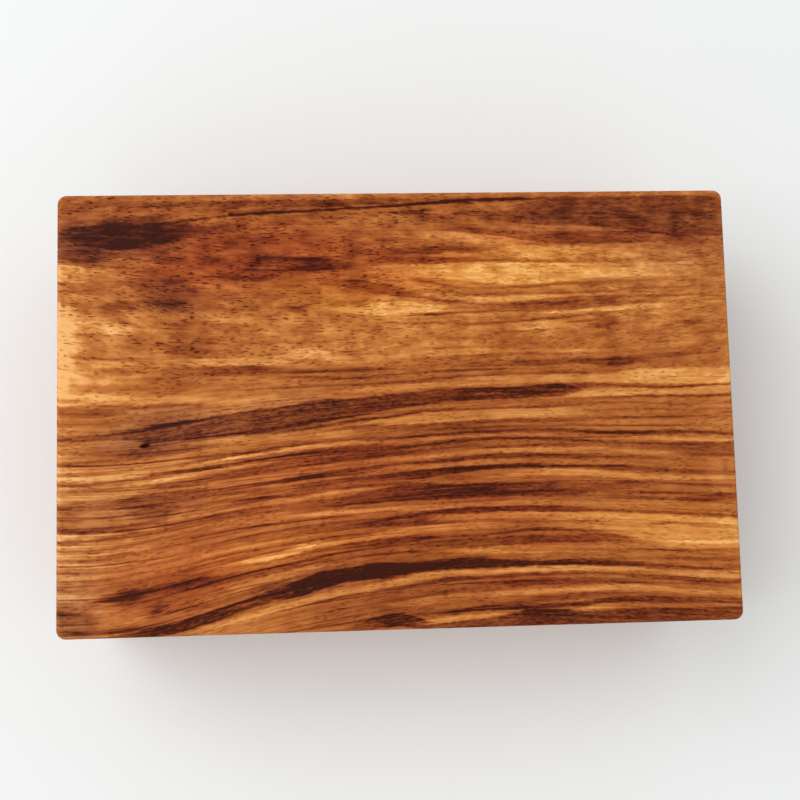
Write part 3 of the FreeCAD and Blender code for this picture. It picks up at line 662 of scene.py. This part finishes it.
     (126, 114, .5, .46), (132, 113.7, .6, .48), (138, 113.6, .6, .48), (144, 113.2, .6, .46),
     (150, 112.7, .8, .46), (156, 112.8, .9, .46), (162, 113.2, .9, .42), (170, 113.5, .8, .36),
     (180, 113.9, .7, .32)),
    ((72, 120, .8, .24), (78, 118.8, 1.0, .3), (84, 117.1, 1.5, .36), (90, 116.4, 1.8, .46),
     (95, 117.3, 1.6, .42), (101, 118.7, 1.1, .36), (108, 118.3, 1.3, .42), (115, 118, 1.5, .42),
     (121, 117.5, 1.9, .42), (127, 116.9, 2.3, .48), (133, 117, 2.2, .46), (141, 117.6, 1.9, .4),
     (150, 117.6, 2.1, .38), (160, 117.5, 2.2, .4), (170, 117.5, 2.0, .36), (184, 117.5, 2.0, .34)),
    # near left corner
    ((0, 91, .5, .2), (8, 91.2, .45, .24), (16, 90.5, .4, .24), (26, 89.4, .3, .16)),
    ((0, 93.8, .3, .24), (9, 93.7, .3, .24), (16, 93, .3, .18)),
    ((0, 96.3, .3, .24), (8, 96.3, .3, .24), (17, 95.6, .3, .2), (28, 93.4, .3, .18), (40, 91, .3, .16)),
    ((0, 98.6, .4, .18), (8, 98.7, .4, .2), (18, 97.4, .3, .16)),
    ((2, 101.8, .3, .2), (12, 102.3, .3, .22), (22, 101, .3, .18), (33, 98.8, .3, .16)),
    ((2, 104.1, .3, .22), (10, 104.2, .3, .2), (20, 103.2, .3, .14)),
    ((3, 106.6, .5, .14), (10, 106.8, .5, .18), (20, 105.4, .5, .16)),
    ((17, 108.8, .9, .16), (26, 107.2, 1.2, .28), (35, 105.8, 1.3, .32), (44, 104.6, 1.3, .34),
     (54, 103, 1.2, .32), (63, 101.9, .9, .26), (72, 100.8, .7, .18)),
)
LIGHT_BANDS = (
    # far edge and golden middle
    ((0, 1.4, 1.2, .10), (30, 1.3, 1.3, .12), (60, 1.2, 1.2, .12), (100, 1.0, .9, .1),
     (130, .8, .7, .06)),
    ((103, 5.0, 1.4, .2), (107, 5.2, 1.3, .2)),
    ((115, 4.6, 1.0, .22), (122, 4.7, 1.2, .26)),
    ((104, 12.6, 1.3, .22), (114, 13.4, 1.4, .26), (123, 14.4, 1.1, .24), (131, 15.2, .7, .14)),
    ((122, 17.2, 1.4, .22), (132, 17.7, 1.8, .28), (140, 17.7, 1.7, .26), (152, 17.9, 1.3, .2),
     (162, 17.9, 1.0, .14)),
    ((88, 22, 1.2, .16), (97, 22.2, 1.8, .22), (107, 22.5, 2.3, .28), (118, 23.0, 3.0, .32),
     (128, 23.4, 3.2, .32), (140, 23, 2.4, .26), (155, 22.6, 2.0, .22), (172, 22.6, 2.0, .2)),
    ((108, 30, .6, .2), (117, 30.5, .6, .26), (126, 30.3, .6, .24), (138, 29.8, .4, .16)),
    ((80, 32.8, 1.2, .2), (86, 32.8, 1.6, .3), (94, 32.6, 1.9, .36), (101, 32.8, 1.3, .34),
     (107, 33.1, .8, .24)),
    ((119, 38.4, 1.0, .14), (128, 38, 1.2, .22), (136, 37.6, 1.0, .16)),
    ((136, 34.3, .5, .2), (148, 33.8, .6, .26), (160, 33, .7, .24), (172, 33, .6, .14)),
    # pale left end: pale streaks of the wood, with painted sheen laid over them
    ((0, 21.5, 2.4, .3), (4, 22, 2.4, .3), (10, 22.6, 2.0, .2), (17, 22.4, 1.4, .1)),
    ((0, 32, 3.0, .32), (4, 33.2, 2.6, .26), (9, 34.4, 1.6, .16)),
    ((0, 40, 5.0, .42), (3, 41, 4.4, .36), (7, 41.4, 2.6, .2)),
    ((4, 37, 1.8, .26), (12, 36.6, 1.6, .26), (19, 37.6, 1.4, .2)),
    ((0, 47, 3.2, .42), (6, 47.4, 2.6, .34), (12, 47.0, 1.6, .24), (19, 46.6, .9, .16)),
    ((0, 52, 3.4, .42), (8, 51.4, 2.2, .38), (14, 51, 1.6, .3), (21, 50.9, 1.0, .18)),
    ((0, 56.4, 1.6, .36), (8, 56.2, 1.7, .38), (16, 56.2, 1.4, .36), (25, 56.8, .9, .26),
     (34, 56.6, .9, .24), (43, 57.4, 1.2, .26), (50, 57.4, 1.1, .24), (58, 56.6, .7, .18)),
    ((31, 45.8, .6, .16), (38, 46.6, .9, .26), (50, 46.5, 1.0, .26), (60, 46.3, 1.2, .24),
     (68, 44.7, 1.6, .3), (76, 46.1, 1.1, .2), (88, 46.4, .9, .16), (100, 45.2, .8, .14),
     (116, 44.7, .6, .16)),
    ((80, 55, .5, .14), (92, 54.4, .8, .22), (104, 53.4, .9, .26), (119, 52.9, 1.1, .28),
     (134, 52.6, 1.0, .26), (149, 52.6, 1.2, .3), (158, 52.4, 2.0, .36), (170, 52.6, 2.2, .38),
     (184, 52.6, 2.2, .36)),
    ((138, 45.2, .5, .14), (150, 45, .5, .16), (165, 44, .6, .16), (176, 43.8, .5, .12)),
    ((141, 57, .9, .26), (150, 56.7, .9, .3), (165, 56.8, 1.0, .34), (184, 56.5, 1.0, .3)),
    # between the heart bands
    ((44, 67.9, .8, .14), (60, 67.4, .9, .16), (75, 66.6, 1.0, .16)),
    ((84, 63.6, .6, .18), (92, 63.3, 1.2, .26), (101, 62.7, 1.4, .28), (115, 62.3, 1.2, .3),
     (129, 62, 1.1, .28), (140, 62, .9, .2)),
    ((0, 77.4, .8, .3), (8, 77.3, .9, .34), (16, 76.9, .9, .32), (26, 76, .6, .16)),
    ((0, 75.4, .5, .2), (10, 75.2, .5, .2), (22, 74.6, .6, .14), (33, 73.2, .6, .12)),
    ((32, 75.1, .3, .16), (40, 74, .4, .26), (48, 72.6, .45, .34), (56, 71.4, .4, .28),
     (66, 70.1, .45, .32), (76, 69.3, .4, .28), (88, 69, .35, .2)),
    ((18, 79.4, .4, .2), (26, 78.6, .6, .32), (34, 77.1, .55, .34), (41, 76, .5, .3), (49, 74.7, .5, .34),
     (57, 73.5, .4, .28), (64, 72.5, .35, .2)),
    ((0, 81.6, 1.2, .26), (8, 81.6, 1.2, .24), (18, 81.2, .8, .16)),
    ((100, 68.5, .35, .2), (109, 68, .35, .26), (120, 67.6, .35, .26), (132, 67.9, .35, .2)),
    ((93, 73.7, .6, .2), (101, 73.1, .6, .22), (110, 72.1, .6, .24), (120, 71.9, .6, .28),
     (130, 72, .7, .28), (142, 72.2, .8, .26), (152, 72.6, .7, .22), (163, 73.6, .5, .2)),
    ((150, 69.3, .4, .16), (159, 69.3, .5, .26), (166, 69.7, .5, .34), (174, 70.2, .5, .26),
     (184, 70.6, .4, .2)),
    ((93, 76.1, .5, .18), (100, 75.9, .5, .2), (108, 75.4, .5, .2), (118, 75, .6, .2),
     (130, 75.2, .5, .2), (140, 75.6, .5, .22), (150, 76, .4, .16)),
    ((116, 78.6, .7, .24), (127, 78.1, .8, .26), (138, 78.2, .9, .3), (148, 79, .8, .3),
     (158, 79.9, .7, .28), (170, 80.5, .6, .26), (184, 80.8, .6, .22)),
    ((64, 83.9, .35, .2), (72, 82.6, .45, .28), (80, 81.8, .5, .26)),
    ((32, 88.2, .3, .16), (42, 86.8, .4, .22), (52, 85.7, .4, .22), (60, 84.9, .4, .2)),
    ((66, 88.1, .45, .22), (73, 87.7, .5, .34), (80, 87.4, .5, .36), (88, 87, .5, .3),
     (98, 86.9, .6, .26), (108, 86.5, .6, .26), (120, 86.3, .7, .26), (132, 86.3, .6, .2),
     (146, 86.8, .5, .16)),
    # golden ground
    ((104, 89.6, .6, .2), (114, 89.5, .7, .28), (124, 89.4, .9, .32), (134, 89.9, 1.0, .32),
     (144, 90.3, 1.1, .3), (155, 91.2, 1.4, .3), (166, 91.6, 1.0, .3), (176, 92.3, .9, .3),
     (184, 92.9, .9, .28)),
    ((136, 92.4, .7, .14), (146, 93.1, 1.3, .20), (156, 94.6, 2.2, .24), (166, 95.4, 2.6, .27),
     (176, 96, 2.6, .27), (184, 96.2, 2.4, .24)),
    ((160, 98.4, 1.0, .14), (172, 98.6, 1.2, .20), (184, 98.6, 1.2, .20)),
    ((40, 101.5, .8, .14), (48, 100.2, 1.0, .26), (54, 99.2, 1.1, .36), (60, 98.4, .9, .32),
     (66, 96.8, .9, .32), (72, 95.8, .9, .34), (79, 94.9, .7, .28), (86, 94, .9, .36),
     (94, 93.1, 1.0, .34), (102, 92.5, 1.1, .32), (110, 92.4, 1.0, .26), (119, 92, .8, .22)),
    ((36, 98.6, .5, .12), (44, 97.2, .6, .16), (54, 95.9, .6, .2), (64, 94.4, .5, .16)),
    ((104, 98.6, .5, .18), (112, 98.7, .8, .28), (120, 98.6, 1.1, .36), (128, 98.7, 1.0, .32),
     (137, 98.8, .9, .24), (148, 99.2, .8, .18)),
    ((50, 106.6, .8, .2), (57, 104.8, 1.2, .3), (64, 103, .9, .26), (72, 101.2, .6, .18)),
    ((42, 116.9, .6, .16), (50, 115.1, .8, .24), (58, 112.6, .9, .32), (64, 111.3, .8, .34),
     (70, 110, .9, .38), (76, 108.8, .8, .32), (84, 107.7, .8, .34), (92, 106.2, .9, .38),
     (99, 105.1, .9, .38), (106, 104.6, .8, .34), (114, 104.6, .7, .34), (122, 104.1, .7, .38),
     (130, 104.1, .7, .38), (138, 104.1, .6, .36), (146, 104.5, .6, .3), (155, 105, .6, .28),
     (165, 105.9, .7, .3), (174, 106.6, 1.0, .34), (184, 107, 1.0, .3)),
    ((93, 112.3, .8, .26), (100, 111.5, 1.0, .28), (108, 110.7, .8, .2), (118, 110.4, .7, .24),
     (126, 110, .7, .26), (134, 109.7, .6, .3), (144, 109.5, .7, .32), (152, 109.5, .8, .32),
     (160, 110.2, .8, .28), (170, 111.2, .8, .3), (180, 111.8, .7, .26)),
    ((97, 117.4, .5, .3), (104, 116.8, .8, .42), (110, 116.4, .7, .38), (116, 116, .6, .3)),
    ((140, 115, .35, .24), (146, 114.4, .45, .36), (152, 114.7, .4, .28)),
    # near left corner
    ((0, 86.9, .7, .16), (8, 87.3, 1.0, .22), (16, 86.4, .8, .16)),
    ((0, 92.4, .9, .34), (8, 92.4, .8, .32), (14, 91.8, .6, .24), (24, 91, .5, .16)),
    ((0, 95.1, .7, .28), (9, 95, .6, .24), (20, 94, .5, .16)),
    ((0, 97.4, .6, .2), (10, 97.4, .6, .2), (22, 95.8, .5, .16)),
    ((0, 100.2, .8, .22), (10, 100.4, .7, .22), (22, 99.2, .5, .18), (34, 96.8, .5, .14)),
    ((0, 103, .6, .18), (9, 103.2, .5, .18), (18, 102.2, .4, .14)),
    ((0, 108.8, 1.2, .2), (8, 108.9, 1.1, .22), (14, 108.4, .6, .14)),
    ((9, 112.3, .5, .3), (14, 112.2, .7, .36), (18, 111.9, .4, .2)),
    ((18, 115, .4, .24), (22, 114.5, .5, .26), (27, 113.7, .3, .14)),
)
# Spots and clouds: the middle along and across, half length, half width, and how much lighter or darker
# than the wood around. The two long light spots on the left end, at 44 and 98 across, are painted sheen.
SPOTS = (
    (92, 13.4, 4, .7, -.2), (104.3, 13, 1.4, .5, -.3), (97, 6, 5, 1.1, -.32), (30, 27.6, 9.5, 6, -.3),
    (33, 31.3, 3.4, 1.6, -.16), (17.5, 31.2, 4.6, 2.0, -.34), (36, 36.5, 8, 3.4, -.16),
    (36, 42.2, 8, 3.8, -.28), (64, 32.3, 4, 1.0, -.22), (41, 32, 5, 1.4, -.14), (26, 41, 5, 1.6, -.14),
    (14, 11, 26, 6, -.14), (18, 12.4, 17, 5, -.18), (4, 16.5, 16, 3, -.15), (22, 36, 30, 12, +.07),
    (34, 3, 64, 3.6, -.1), (70, 20.4, 8, 2.4, -.1), (48, 38.5, 5, 2, -.1), (150.3, 37.4, 3.8, 3.2, -.26),
    (121, 38.6, 5, 4.4, -.18), (147, 18.7, 5, .9, -.16), (142.5, 37, 4, .5, -.26),
    (130, 39.3, 3, .5, -.24), (173.5, 37.7, 4, 1.1, -.26), (26, 86.8, 6, 2.4, -.22),
    (3, 85.8, 7, 2.0, -.24), (2, 89.6, 6, 1.3, -.16), (20, 91.4, 3, .8, -.14), (19, 108.6, 6, 1.8, -.24),
    (30, 106.8, 16, 4.4, -.18), (27, 112, 2, 1.8, -.22), (4, 114.2, 8, 4.4, -.24), (67, 96, 4, .8, +.16),
    (56, 99, 3.4, .9, +.12), (120, 30, 80, 16, +.1), (165, 93, 32, 9, +.06), (55, 17, 38, 9, -.12),
    (62, 28, 30, 6, -.08), (84, 21, 18, 3, -.06), (60, 42, 60, 9, +.05), (40, 88, 20, 7, -.04),
    (112, 71, 34, 8, -.07), (84, 106, 34, 12, -.09), (98, 113, 24, 5, -.08), (30, 114, 16, 4, -.1),
    (112, 5, 20, 6, -.12), (0, 44, 8, 34, +.1), (0, 98, 9, 34, +.12), (186, 70, 9, 50, +.08),
    (160, 62, 40, 7, +.05), (150, 116, 34, 4, -.04), (104, 90, 44, 16, -.06),
)
# Where the wood turns redder than the rest, where it turns towards plum, and where golden. Laid in the
# same way, with how strong the tint is. The plum tint is partly the wood's own; on the dark patches at
# the far left and far right and along the left end it is painted reflection of the sky.
REDNESS = (
    (55, 17, 40, 9, .9), (36, 24, 20, 8, .4), (88, 26, 18, 4, .6), (145, 13, 40, 3, .5),
    (128, 107.4, 16, 3, .5), (30, 107, 22, 8, .5), (135, 96, 18, 3, .4), (70, 73, 30, 5, .4),
    (74, 88, 60, 16, .45), (100, 19, 18, 3, .5), (125, 88, 20, 2, .3),
)
PLUM_AND_SKY_PATCHES = (
    (13, 13, 24, 7, .8), (28, 66.5, 19, 5, .8), (160, 8, 36, 7, .4), (4, 113, 10, 9, .5),
    (31, 29, 9, 5, .5), (68, 106, 14, 3, .5), (22, 85, 18, 4, .4), (136, 118, 40, 3, .3),
    (60, 61, 20, 4, .4), (176, 16, 18, 9, .3), (0, 96, 16, 30, .2),
)
GOLDEN = (
    (118, 22, 34, 8, .8), (84, 30, 24, 6, .6), (72, 26, 20, 8, .5), (168, 94, 30, 7, .6),
    (60, 98, 30, 5, .6), (110, 98, 26, 3, .5), (165, 54, 26, 3, .4), (16, 56, 22, 5, .3),
    (110, 40, 40, 8, .3), (110, 116, 12, 2, .5),
)


def limit(value, low, high):
    """Holds a value between two others, both for a plain number and for one in a node tree."""
    if isinstance(value, Term):
        return value.limit(low, high)
    return min(max(value, low), high)


def drop(x, y, start=48.0, rise=18.0):
    """How far the growth line through a point lies below its own height at the crest.

    Left of the crest the lines of the near half fall in an arch, and right of it they sink a little.
    In the far half they dip towards both ends instead.
    """
    bend = limit((CREST - x) / 105.0, 0.0, 1.12)
    flat = limit((bend - 0.8) / 0.32, 0.0, 1.0)
    left = bend - flat * flat * 0.16
    right = limit((x - CREST) / 60.0, 0.0, 1.0)
    arch = limit((y - start) / rise, 0.0, 1.0) * 9.6 + limit((y - 85.0) / 32.0, 0.0, 1.0) * 7.5
    steep = limit((y - 70.0) / 30.0, 0.0, 1.0) * 0.7 + 1.5
    fall = limit((y - 58.0) / 42.0, 0.0, 1.0) * 4.0
    valley = limit((y - 6.0) / 16.0, 0.0, 1.0) * limit((54.0 - y) / 12.0, 0.0, 1.0)
    left_dip = limit((75.0 - x) / 75.0, 0.0, 1.0)
    right_dip = limit((x - 75.0) / 110.0, 0.0, 1.0)
    late = limit((y - 26.0) / 10.0, 0.0, 1.0)
    dips = left_dip * left_dip * 4.5 + late * right_dip * right_dip * 4.0
    return arch * left ** steep + fall * right ** 1.5 - valley * dips


FIGURE_SPAN = 150.0          # the curves below run from 0 to 1 over this height
FIGURE_MARGIN = 10.0         # and start this far beyond the far edge
BAND_TIP = 7.0               # how far a band tapers on past its last place
BAND_SOFTNESS = 0.32         # half width of a band's soft edge


def lay_bands(along, level, bands):
    """How strongly a spot is marked by the bands laid over the board."""
    length = 2 * HALF_LENGTH
    place = along / length
    place = place.vector(place, place, place)
    level = (level + FIGURE_MARGIN) / FIGURE_SPAN
    soft = BAND_SOFTNESS / FIGURE_SPAN
    marked = 0.0
    for band in bands:
        courses = [[], [], []]
        before = (band[0][0] - BAND_TIP, band[0][1], 0.0, 0.0)
        after = (band[-1][0] + BAND_TIP, band[-1][1], 0.0, 0.0)
        for x, y, half, strength in (before, *band, after):
            if 0 <= x <= length:
                far = y - half - drop(x, y - half)
                near = y + half - drop(x, y + half)
                courses[0].append((x / length, ((near + far) / 2 + FIGURE_MARGIN) / FIGURE_SPAN))
                courses[1].append((x / length, (near - far) / 2 / FIGURE_SPAN))
                courses[2].append((x / length, strength))
        course = place.node("ShaderNodeRGBCurve", {"courses": courses}, {"Color": place})
        middle, half, strength = course.parts()
        inside = half - abs(level - middle)
        mark = inside.ease(-soft, soft)
        marked = mark.math("MULTIPLY_ADD", mark, strength, marked)
    return marked


SPOT_REACH = 1.3             # a spot fades out at this times its half length and width
SPOT_HEART = 0.65            # and is full where it has risen this far


def lay_spots(here, spots, total):
    """Adds the soft spots laid over the board."""
    for x, y, half_length, half_width, weight in spots:
        seat = here.node("ShaderNodeMapping", {"vector_type": "TEXTURE"},
                         {"Vector": here, "Location": (x, y - drop(x, y), 0),
                          "Scale": (half_length * SPOT_REACH, half_width * SPOT_REACH, 1)})
        ball = seat.node("ShaderNodeTexGradient", {"gradient_type": "SPHERICAL"}, {"Vector": seat},
                         output="Fac")
        total = ball.math("MULTIPLY_ADD", ball.ease(0.0, SPOT_HEART), weight, total)
    return total


def top_board_wood():
    """The figured wood of the show board, with the knot and the edges rubbed by hands."""
    material, root, (x, y, z), facing = start_wood("figured_top")
    along = x / FIGURE_SPREAD + HALF_LENGTH
    across = HALF_WIDTH - y / FIGURE_SPREAD - FIGURE_DROP
    deep = cad_high.z / MM - z
    level = across - drop(along, across) + deep * 0.45
    fine = across - drop(along, across, 32.0, 42.0) + deep * 0.45
    comb = root.noise(along / 24, level / 0.8, deep / 3)
    ragged = root.noise(along / 3, level / 0.8, deep / 3, 2)
    upper = 1 - across.ease(40, 58)
    lower = 1 - upper
    open_grain = upper * (1 - along.ease(80, 125)) * 0.14 + upper * 0.02 + 0.14
    near_left = lower * (1 - along.ease(60, 95))
    growth = near_left * 0.17 + lower * 0.12 + 0.05
    tone, relief, pit = sawn_wood(along, level, deep, fine, bands=0.25, lines=growth, fibres=0.32,
                                  mottle=upper * 0.62 + 0.2, pores=open_grain)
    drawn = along + comb * 7
    edge = level + ragged * 0.9
    dark = lay_bands(drawn, edge, DARK_BANDS)
    # the light bands include painted sheen over the pale left end
    light = lay_bands(drawn, edge, LIGHT_BANDS)
    flame = root.noise(along / 7, across / 26, deep / 20, 1)
    flecked = root.noise(along / 1.7, fine / 0.5, 8.0, 1) * (lower * 0.6 + 0.35)
    uneven = root.noise(along / 12, level / 0.7, 5.0, 2) * 0.8 + flecked
    ends = abs(facing[0]).ease(0.6, 0.9)
    drawn_out = 1 - ends * 0.45
    figure = light * 0.74 - dark * (uneven + 0.72)
    tone = tone + near_left * 0.09 + flame * 0.14 + figure * drawn_out - ends * 0.08
    here = root.vector(along + comb * 14, level + ragged * 1.6, 0.0)
    # the spots include painted sheen along the left end
    tone = lay_spots(here, SPOTS, tone)
    # plum tint: partly the wood's own purple, partly painted reflection of the sky at the far corners and
    # the left end
    plum_and_sky = lay_spots(here, PLUM_AND_SKY_PATCHES, 0.0).limit(0.0, 1.0)
    gold = lay_spots(here, GOLDEN, 0.0).limit(0.0, 1.0)
    red = lay_spots(here, REDNESS, root.noise(along / 30, level / 6, 3.0, 2) * 0.5).limit(0.0, 1.0)
    away_x = (x - KNOT_X) / KNOT_HALF_LENGTH
    away_y = (y - KNOT_Y - (x - KNOT_X) * KNOT_SLANT) / KNOT_HALF_WIDTH
    from_knot = (away_x * away_x + away_y * away_y) ** 0.5
    tone = tone - (1 - from_knot.ease(0.6, 1.5)) * 0.6 - (1 - from_knot.ease(1.0, 6.0)) * 0.14
    arris = 2 - (HALF_LENGTH - abs(x)).ease(0.4, 1.9) - (HALF_WIDTH - abs(y)).ease(0.4, 1.9)
    worn = arris * (1 - deep.ease(0.6, 2.5)) * (root.noise(along / 4, across / 4, deep / 4, 3) + 0.45)
    tone = tone + TOP_TONE + worn * 0.14
    return oiled(material, tone, red, relief, pit, worn, plum_and_sky=plum_and_sky, gold=gold)


GATHER_REACH = 5.0           # how far from an edge or the knot the mesh lines draw together
GATHER_SHARE = 0.65
ARRIS_STEPS = 5              # flats that round the top edge over
TOP_WELD = 0.002             # points nearer than this are one


def gather(value, place):
    """Draws evenly spaced lines together around a place, for detail that needs them."""
    away = value - place
    near = value.math("EXPONENT", (away / (GATHER_REACH * MM)) ** 2.0 * -1.0)
    return value - away * near * GATHER_SHARE


def planed_board(root, size):
    """A crowned board with softened edges, a pin knot, and a chamfered field underneath."""
    arris = size["Arris"]
    corner = size["Corner Radius"]
    middle_x = size["Length"] * 0.5 - corner
    middle_y = size["Width"] * 0.5 - corner
    flat_x = size["Length"] * 0.5 - arris
    flat_y = size["Width"] * 0.5 - arris
    board = root.node("GeometryNodeMeshGrid", None, {
        "Size X": flat_x * 2, "Size Y": flat_y * 2,
        "Vertices X": size["Lines Along"], "Vertices Y": size["Lines Across"]})
    place = root.node("GeometryNodeInputPosition")
    x, y, z = place.parts()
    for edge in (flat_x, -flat_x, size["Knot X"]):
        x = gather(x, edge)
    for edge in (flat_y, -flat_y, size["Knot Y"]):
        y = gather(y, edge)
    inner = corner - arris
    turn_x = ((abs(x) - middle_x) / inner).limit(0.0, 1.0)
    turn_y = ((abs(y) - middle_y) / inner).limit(0.0, 1.0)
    pull_x = turn_x * (1 - (1 - turn_y * turn_y * 0.5) ** 0.5) * inner
    pull_y = turn_y * (1 - (1 - turn_x * turn_x * 0.5) ** 0.5) * inner
    away_x = (x - size["Knot X"]) * TO_MM
    away_y = (y - size["Knot Y"]) * TO_MM - away_x * KNOT_SLANT
    ring = (away_x * away_x / 1.3 + away_y * away_y / 0.22) ** 0.5
    hollow = 1 - ring.ease(0.2, 1.1)
    inside_x = 1 - (x / flat_x) ** 4.0
    inside_y = 1 - (y / flat_y) ** 4.0
    planed = root.noise(x * TO_MM / 26, y * TO_MM / 9, 2.0, 1) - 0.4
    waves = planed * inside_x * inside_y * (PLANE_MARKS * MM)
    dip = size["Crown"] * (1 - inside_x * inside_y) - waves
    height = size["Top"] - dip - hollow * size["Knot Depth"]
    x = x - x.math("SIGN", x) * pull_x
    y = y - y.math("SIGN", y) * pull_y
    board = root.node("GeometryNodeSetPosition", None,
                      {"Geometry": board, "Position": root.vector(x, y, height)})

    open_edge = 2 - root.node("GeometryNodeInputMeshEdgeNeighbors")

    def next_ring(board, x, y, z):
        """Draws the open edge of the board out to a new ring."""
        drawn = root.node("GeometryNodeExtrudeMesh", {"mode": "EDGES"},
                          {"Mesh": board, "Selection": open_edge, "Offset Scale": 0.0})
        return root.node("GeometryNodeSetPosition", None,
                         {"Geometry": drawn, "Selection": drawn.other("Top"),
                          "Position": root.vector(x, y, z)})

    x, y, z = place.parts()
    seat_x = x.limit(-middle_x, middle_x)
    seat_y = y.limit(-middle_y, middle_y)
    out_x = x - seat_x
    out_y = y - seat_y
    reach = (out_x * out_x + out_y * out_y) ** 0.5
    for step in range(1, ARRIS_STEPS + 1):
        angle = math.pi / 2 * step / ARRIS_STEPS
        radius = (inner + arris * math.sin(angle)) / reach
        sunk = size["Crown"] + arris * (1 - math.cos(angle))
        board = next_ring(board, seat_x + out_x * radius, seat_y + out_y * radius, size["Top"] - sunk)
    board = next_ring(board, x, y, size["Joint"])
    field_x = size["Length"] * 0.5 - size["Wall"]
    field_y = size["Width"] * 0.5 - size["Wall"]
    chamfer = size["Chamfer"]
    board = next_ring(board, x.limit(-field_x, field_x), y.limit(-field_y, field_y), z)
    board = next_ring(board, x, y, size["Field"] + chamfer)
    board = next_ring(board, x.limit(chamfer - field_x, field_x - chamfer),
                      y.limit(chamfer - field_y, field_y - chamfer), size["Field"])
    underside = root.node("GeometryNodeMeshToCurve", None, {"Mesh": board, "Selection": open_edge})
    underside = root.node("GeometryNodeFillCurve", {"mode": "NGONS"}, {"Curve": underside})
    underside = root.node("GeometryNodeSetPosition", None,
                          {"Geometry": underside, "Offset": root.vector(0.0, 0.0, size["Field"])})
    underside = root.node("GeometryNodeFlipFaces", None, {"Mesh": underside})
    board = root.node("GeometryNodeJoinGeometry", None, {"Geometry": [board, underside]})
    board = root.node("GeometryNodeMergeByDistance", None, {"Geometry": board, "Distance": TOP_WELD * MM})
    gentle = root.math("LESS_THAN", root.node("GeometryNodeInputMeshEdgeAngle"), math.radians(30))
    board = root.node("GeometryNodeSetShadeSmooth", {"domain": "FACE"}, {"Geometry": board})
    return root.node("GeometryNodeSetShadeSmooth", {"domain": "EDGE"},
                     {"Geometry": board, "Shade Smooth": gentle})


top_board = grown("figured_top_board", {
    "Length": 2 * HALF_LENGTH * MM, "Width": 2 * HALF_WIDTH * MM, "Top": cad_high.z,
    "Joint": TOP_JOINT * MM, "Field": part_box("lid_top_board")[0].z, "Wall": WALL_THICKNESS * MM,
    "Corner Radius": BOX_CORNER * MM, "Arris": TOP_ARRIS * MM, "Chamfer": FIELD_CHAMFER * MM,
    "Crown": TOP_CROWN * MM, "Knot X": KNOT_X * MM, "Knot Y": KNOT_Y * MM,
    "Knot Depth": KNOT_DEPTH * MM, "Lines Along": 250, "Lines Across": 170,
}, top_board_wood(), planed_board)
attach(top_board, "lid")
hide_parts("lid_top_board")


# ---- Studio ------------------------------------------------------------------------------------------
# A plain pale floor, one large soft lamp from the far left and even light from all round, and a
# camera that looks down on the lid from a little left and near of its middle.

FLOOR_REACH = 3.0
FLOOR_COLOUR = (0.885, 0.91, 0.91, 1)
SKY_COLOUR = (0.93, 0.93, 0.92, 1)
SKY_LIGHT = 0.76             # how strongly the sky lights the box; seen directly its strength is 1
LAMP_SIZE = (1.3, 1.1)
LAMP_WATTS = 11.5
LAMP_PLACE = (-0.85, 0.25, 1.3)
CAMERA_PLACE = (-0.0225, -0.0361, 0.4166)
CAMERA_TURN = (6.30, -3.53, -1.47)
CAMERA_LENS = 57.95

floor_corners = [(-FLOOR_REACH, -FLOOR_REACH, 0), (FLOOR_REACH, -FLOOR_REACH, 0),
                 (FLOOR_REACH, FLOOR_REACH, 0), (-FLOOR_REACH, FLOOR_REACH, 0)]
floor_mesh = bpy.data.meshes.new("studio_floor")
floor_mesh.from_pydata(floor_corners, [], [(0, 1, 2, 3)])
studio_floor = bpy.data.objects.new("studio_floor", floor_mesh)
bpy.context.scene.collection.objects.link(studio_floor)
pale = bpy.data.materials.new("pale_floor")
pale.use_nodes = True
pale.node_tree.nodes.clear()
pale_floor = Term(pale.node_tree).node("ShaderNodeBsdfPrincipled", None,
                                       {"Base Color": FLOOR_COLOUR, "Roughness": 0.9,
                                        "Specular IOR Level": 0.0})
pale_floor.node("ShaderNodeOutputMaterial", None, {"Surface": pale_floor})
floor_mesh.materials.append(pale)

world = bpy.data.worlds.new("even_light")
world.use_nodes = True
world.node_tree.nodes.clear()
ray = Term(world.node_tree).node("ShaderNodeLightPath")
direct = ray.math("MAXIMUM", ray.other("Is Camera Ray"), ray.other("Is Glossy Ray"))
direct = direct.math("MAXIMUM", direct, ray.other("Is Transmission Ray"))
backdrop = direct.node("ShaderNodeBackground", None,
                       {"Color": SKY_COLOUR, "Strength": direct * (1 - SKY_LIGHT) + SKY_LIGHT})
backdrop.node("ShaderNodeOutputWorld", None, {"Surface": backdrop})
bpy.context.scene.world = world

soft_light = bpy.data.lights.new("soft_lamp", "AREA")
soft_light.shape = "RECTANGLE"
soft_light.size, soft_light.size_y = LAMP_SIZE
soft_light.energy = LAMP_WATTS
soft_lamp = bpy.data.objects.new("soft_lamp", soft_light)
bpy.context.scene.collection.objects.link(soft_lamp)
soft_lamp.location = LAMP_PLACE
soft_lamp.rotation_euler = (-soft_lamp.location).to_track_quat("-Z", "Y").to_euler()

camera_data = bpy.data.cameras.new("camera")
camera_data.sensor_width = 36.0
camera_data.lens = CAMERA_LENS
camera_data.clip_start = 0.01
camera = bpy.data.objects.new("camera", camera_data)
bpy.context.scene.collection.objects.link(camera)
camera.location = CAMERA_PLACE
camera.rotation_euler = [math.radians(angle) for angle in CAMERA_TURN]
bpy.context.scene.camera = camera
bpy.context.scene.view_settings.view_transform = "Standard"
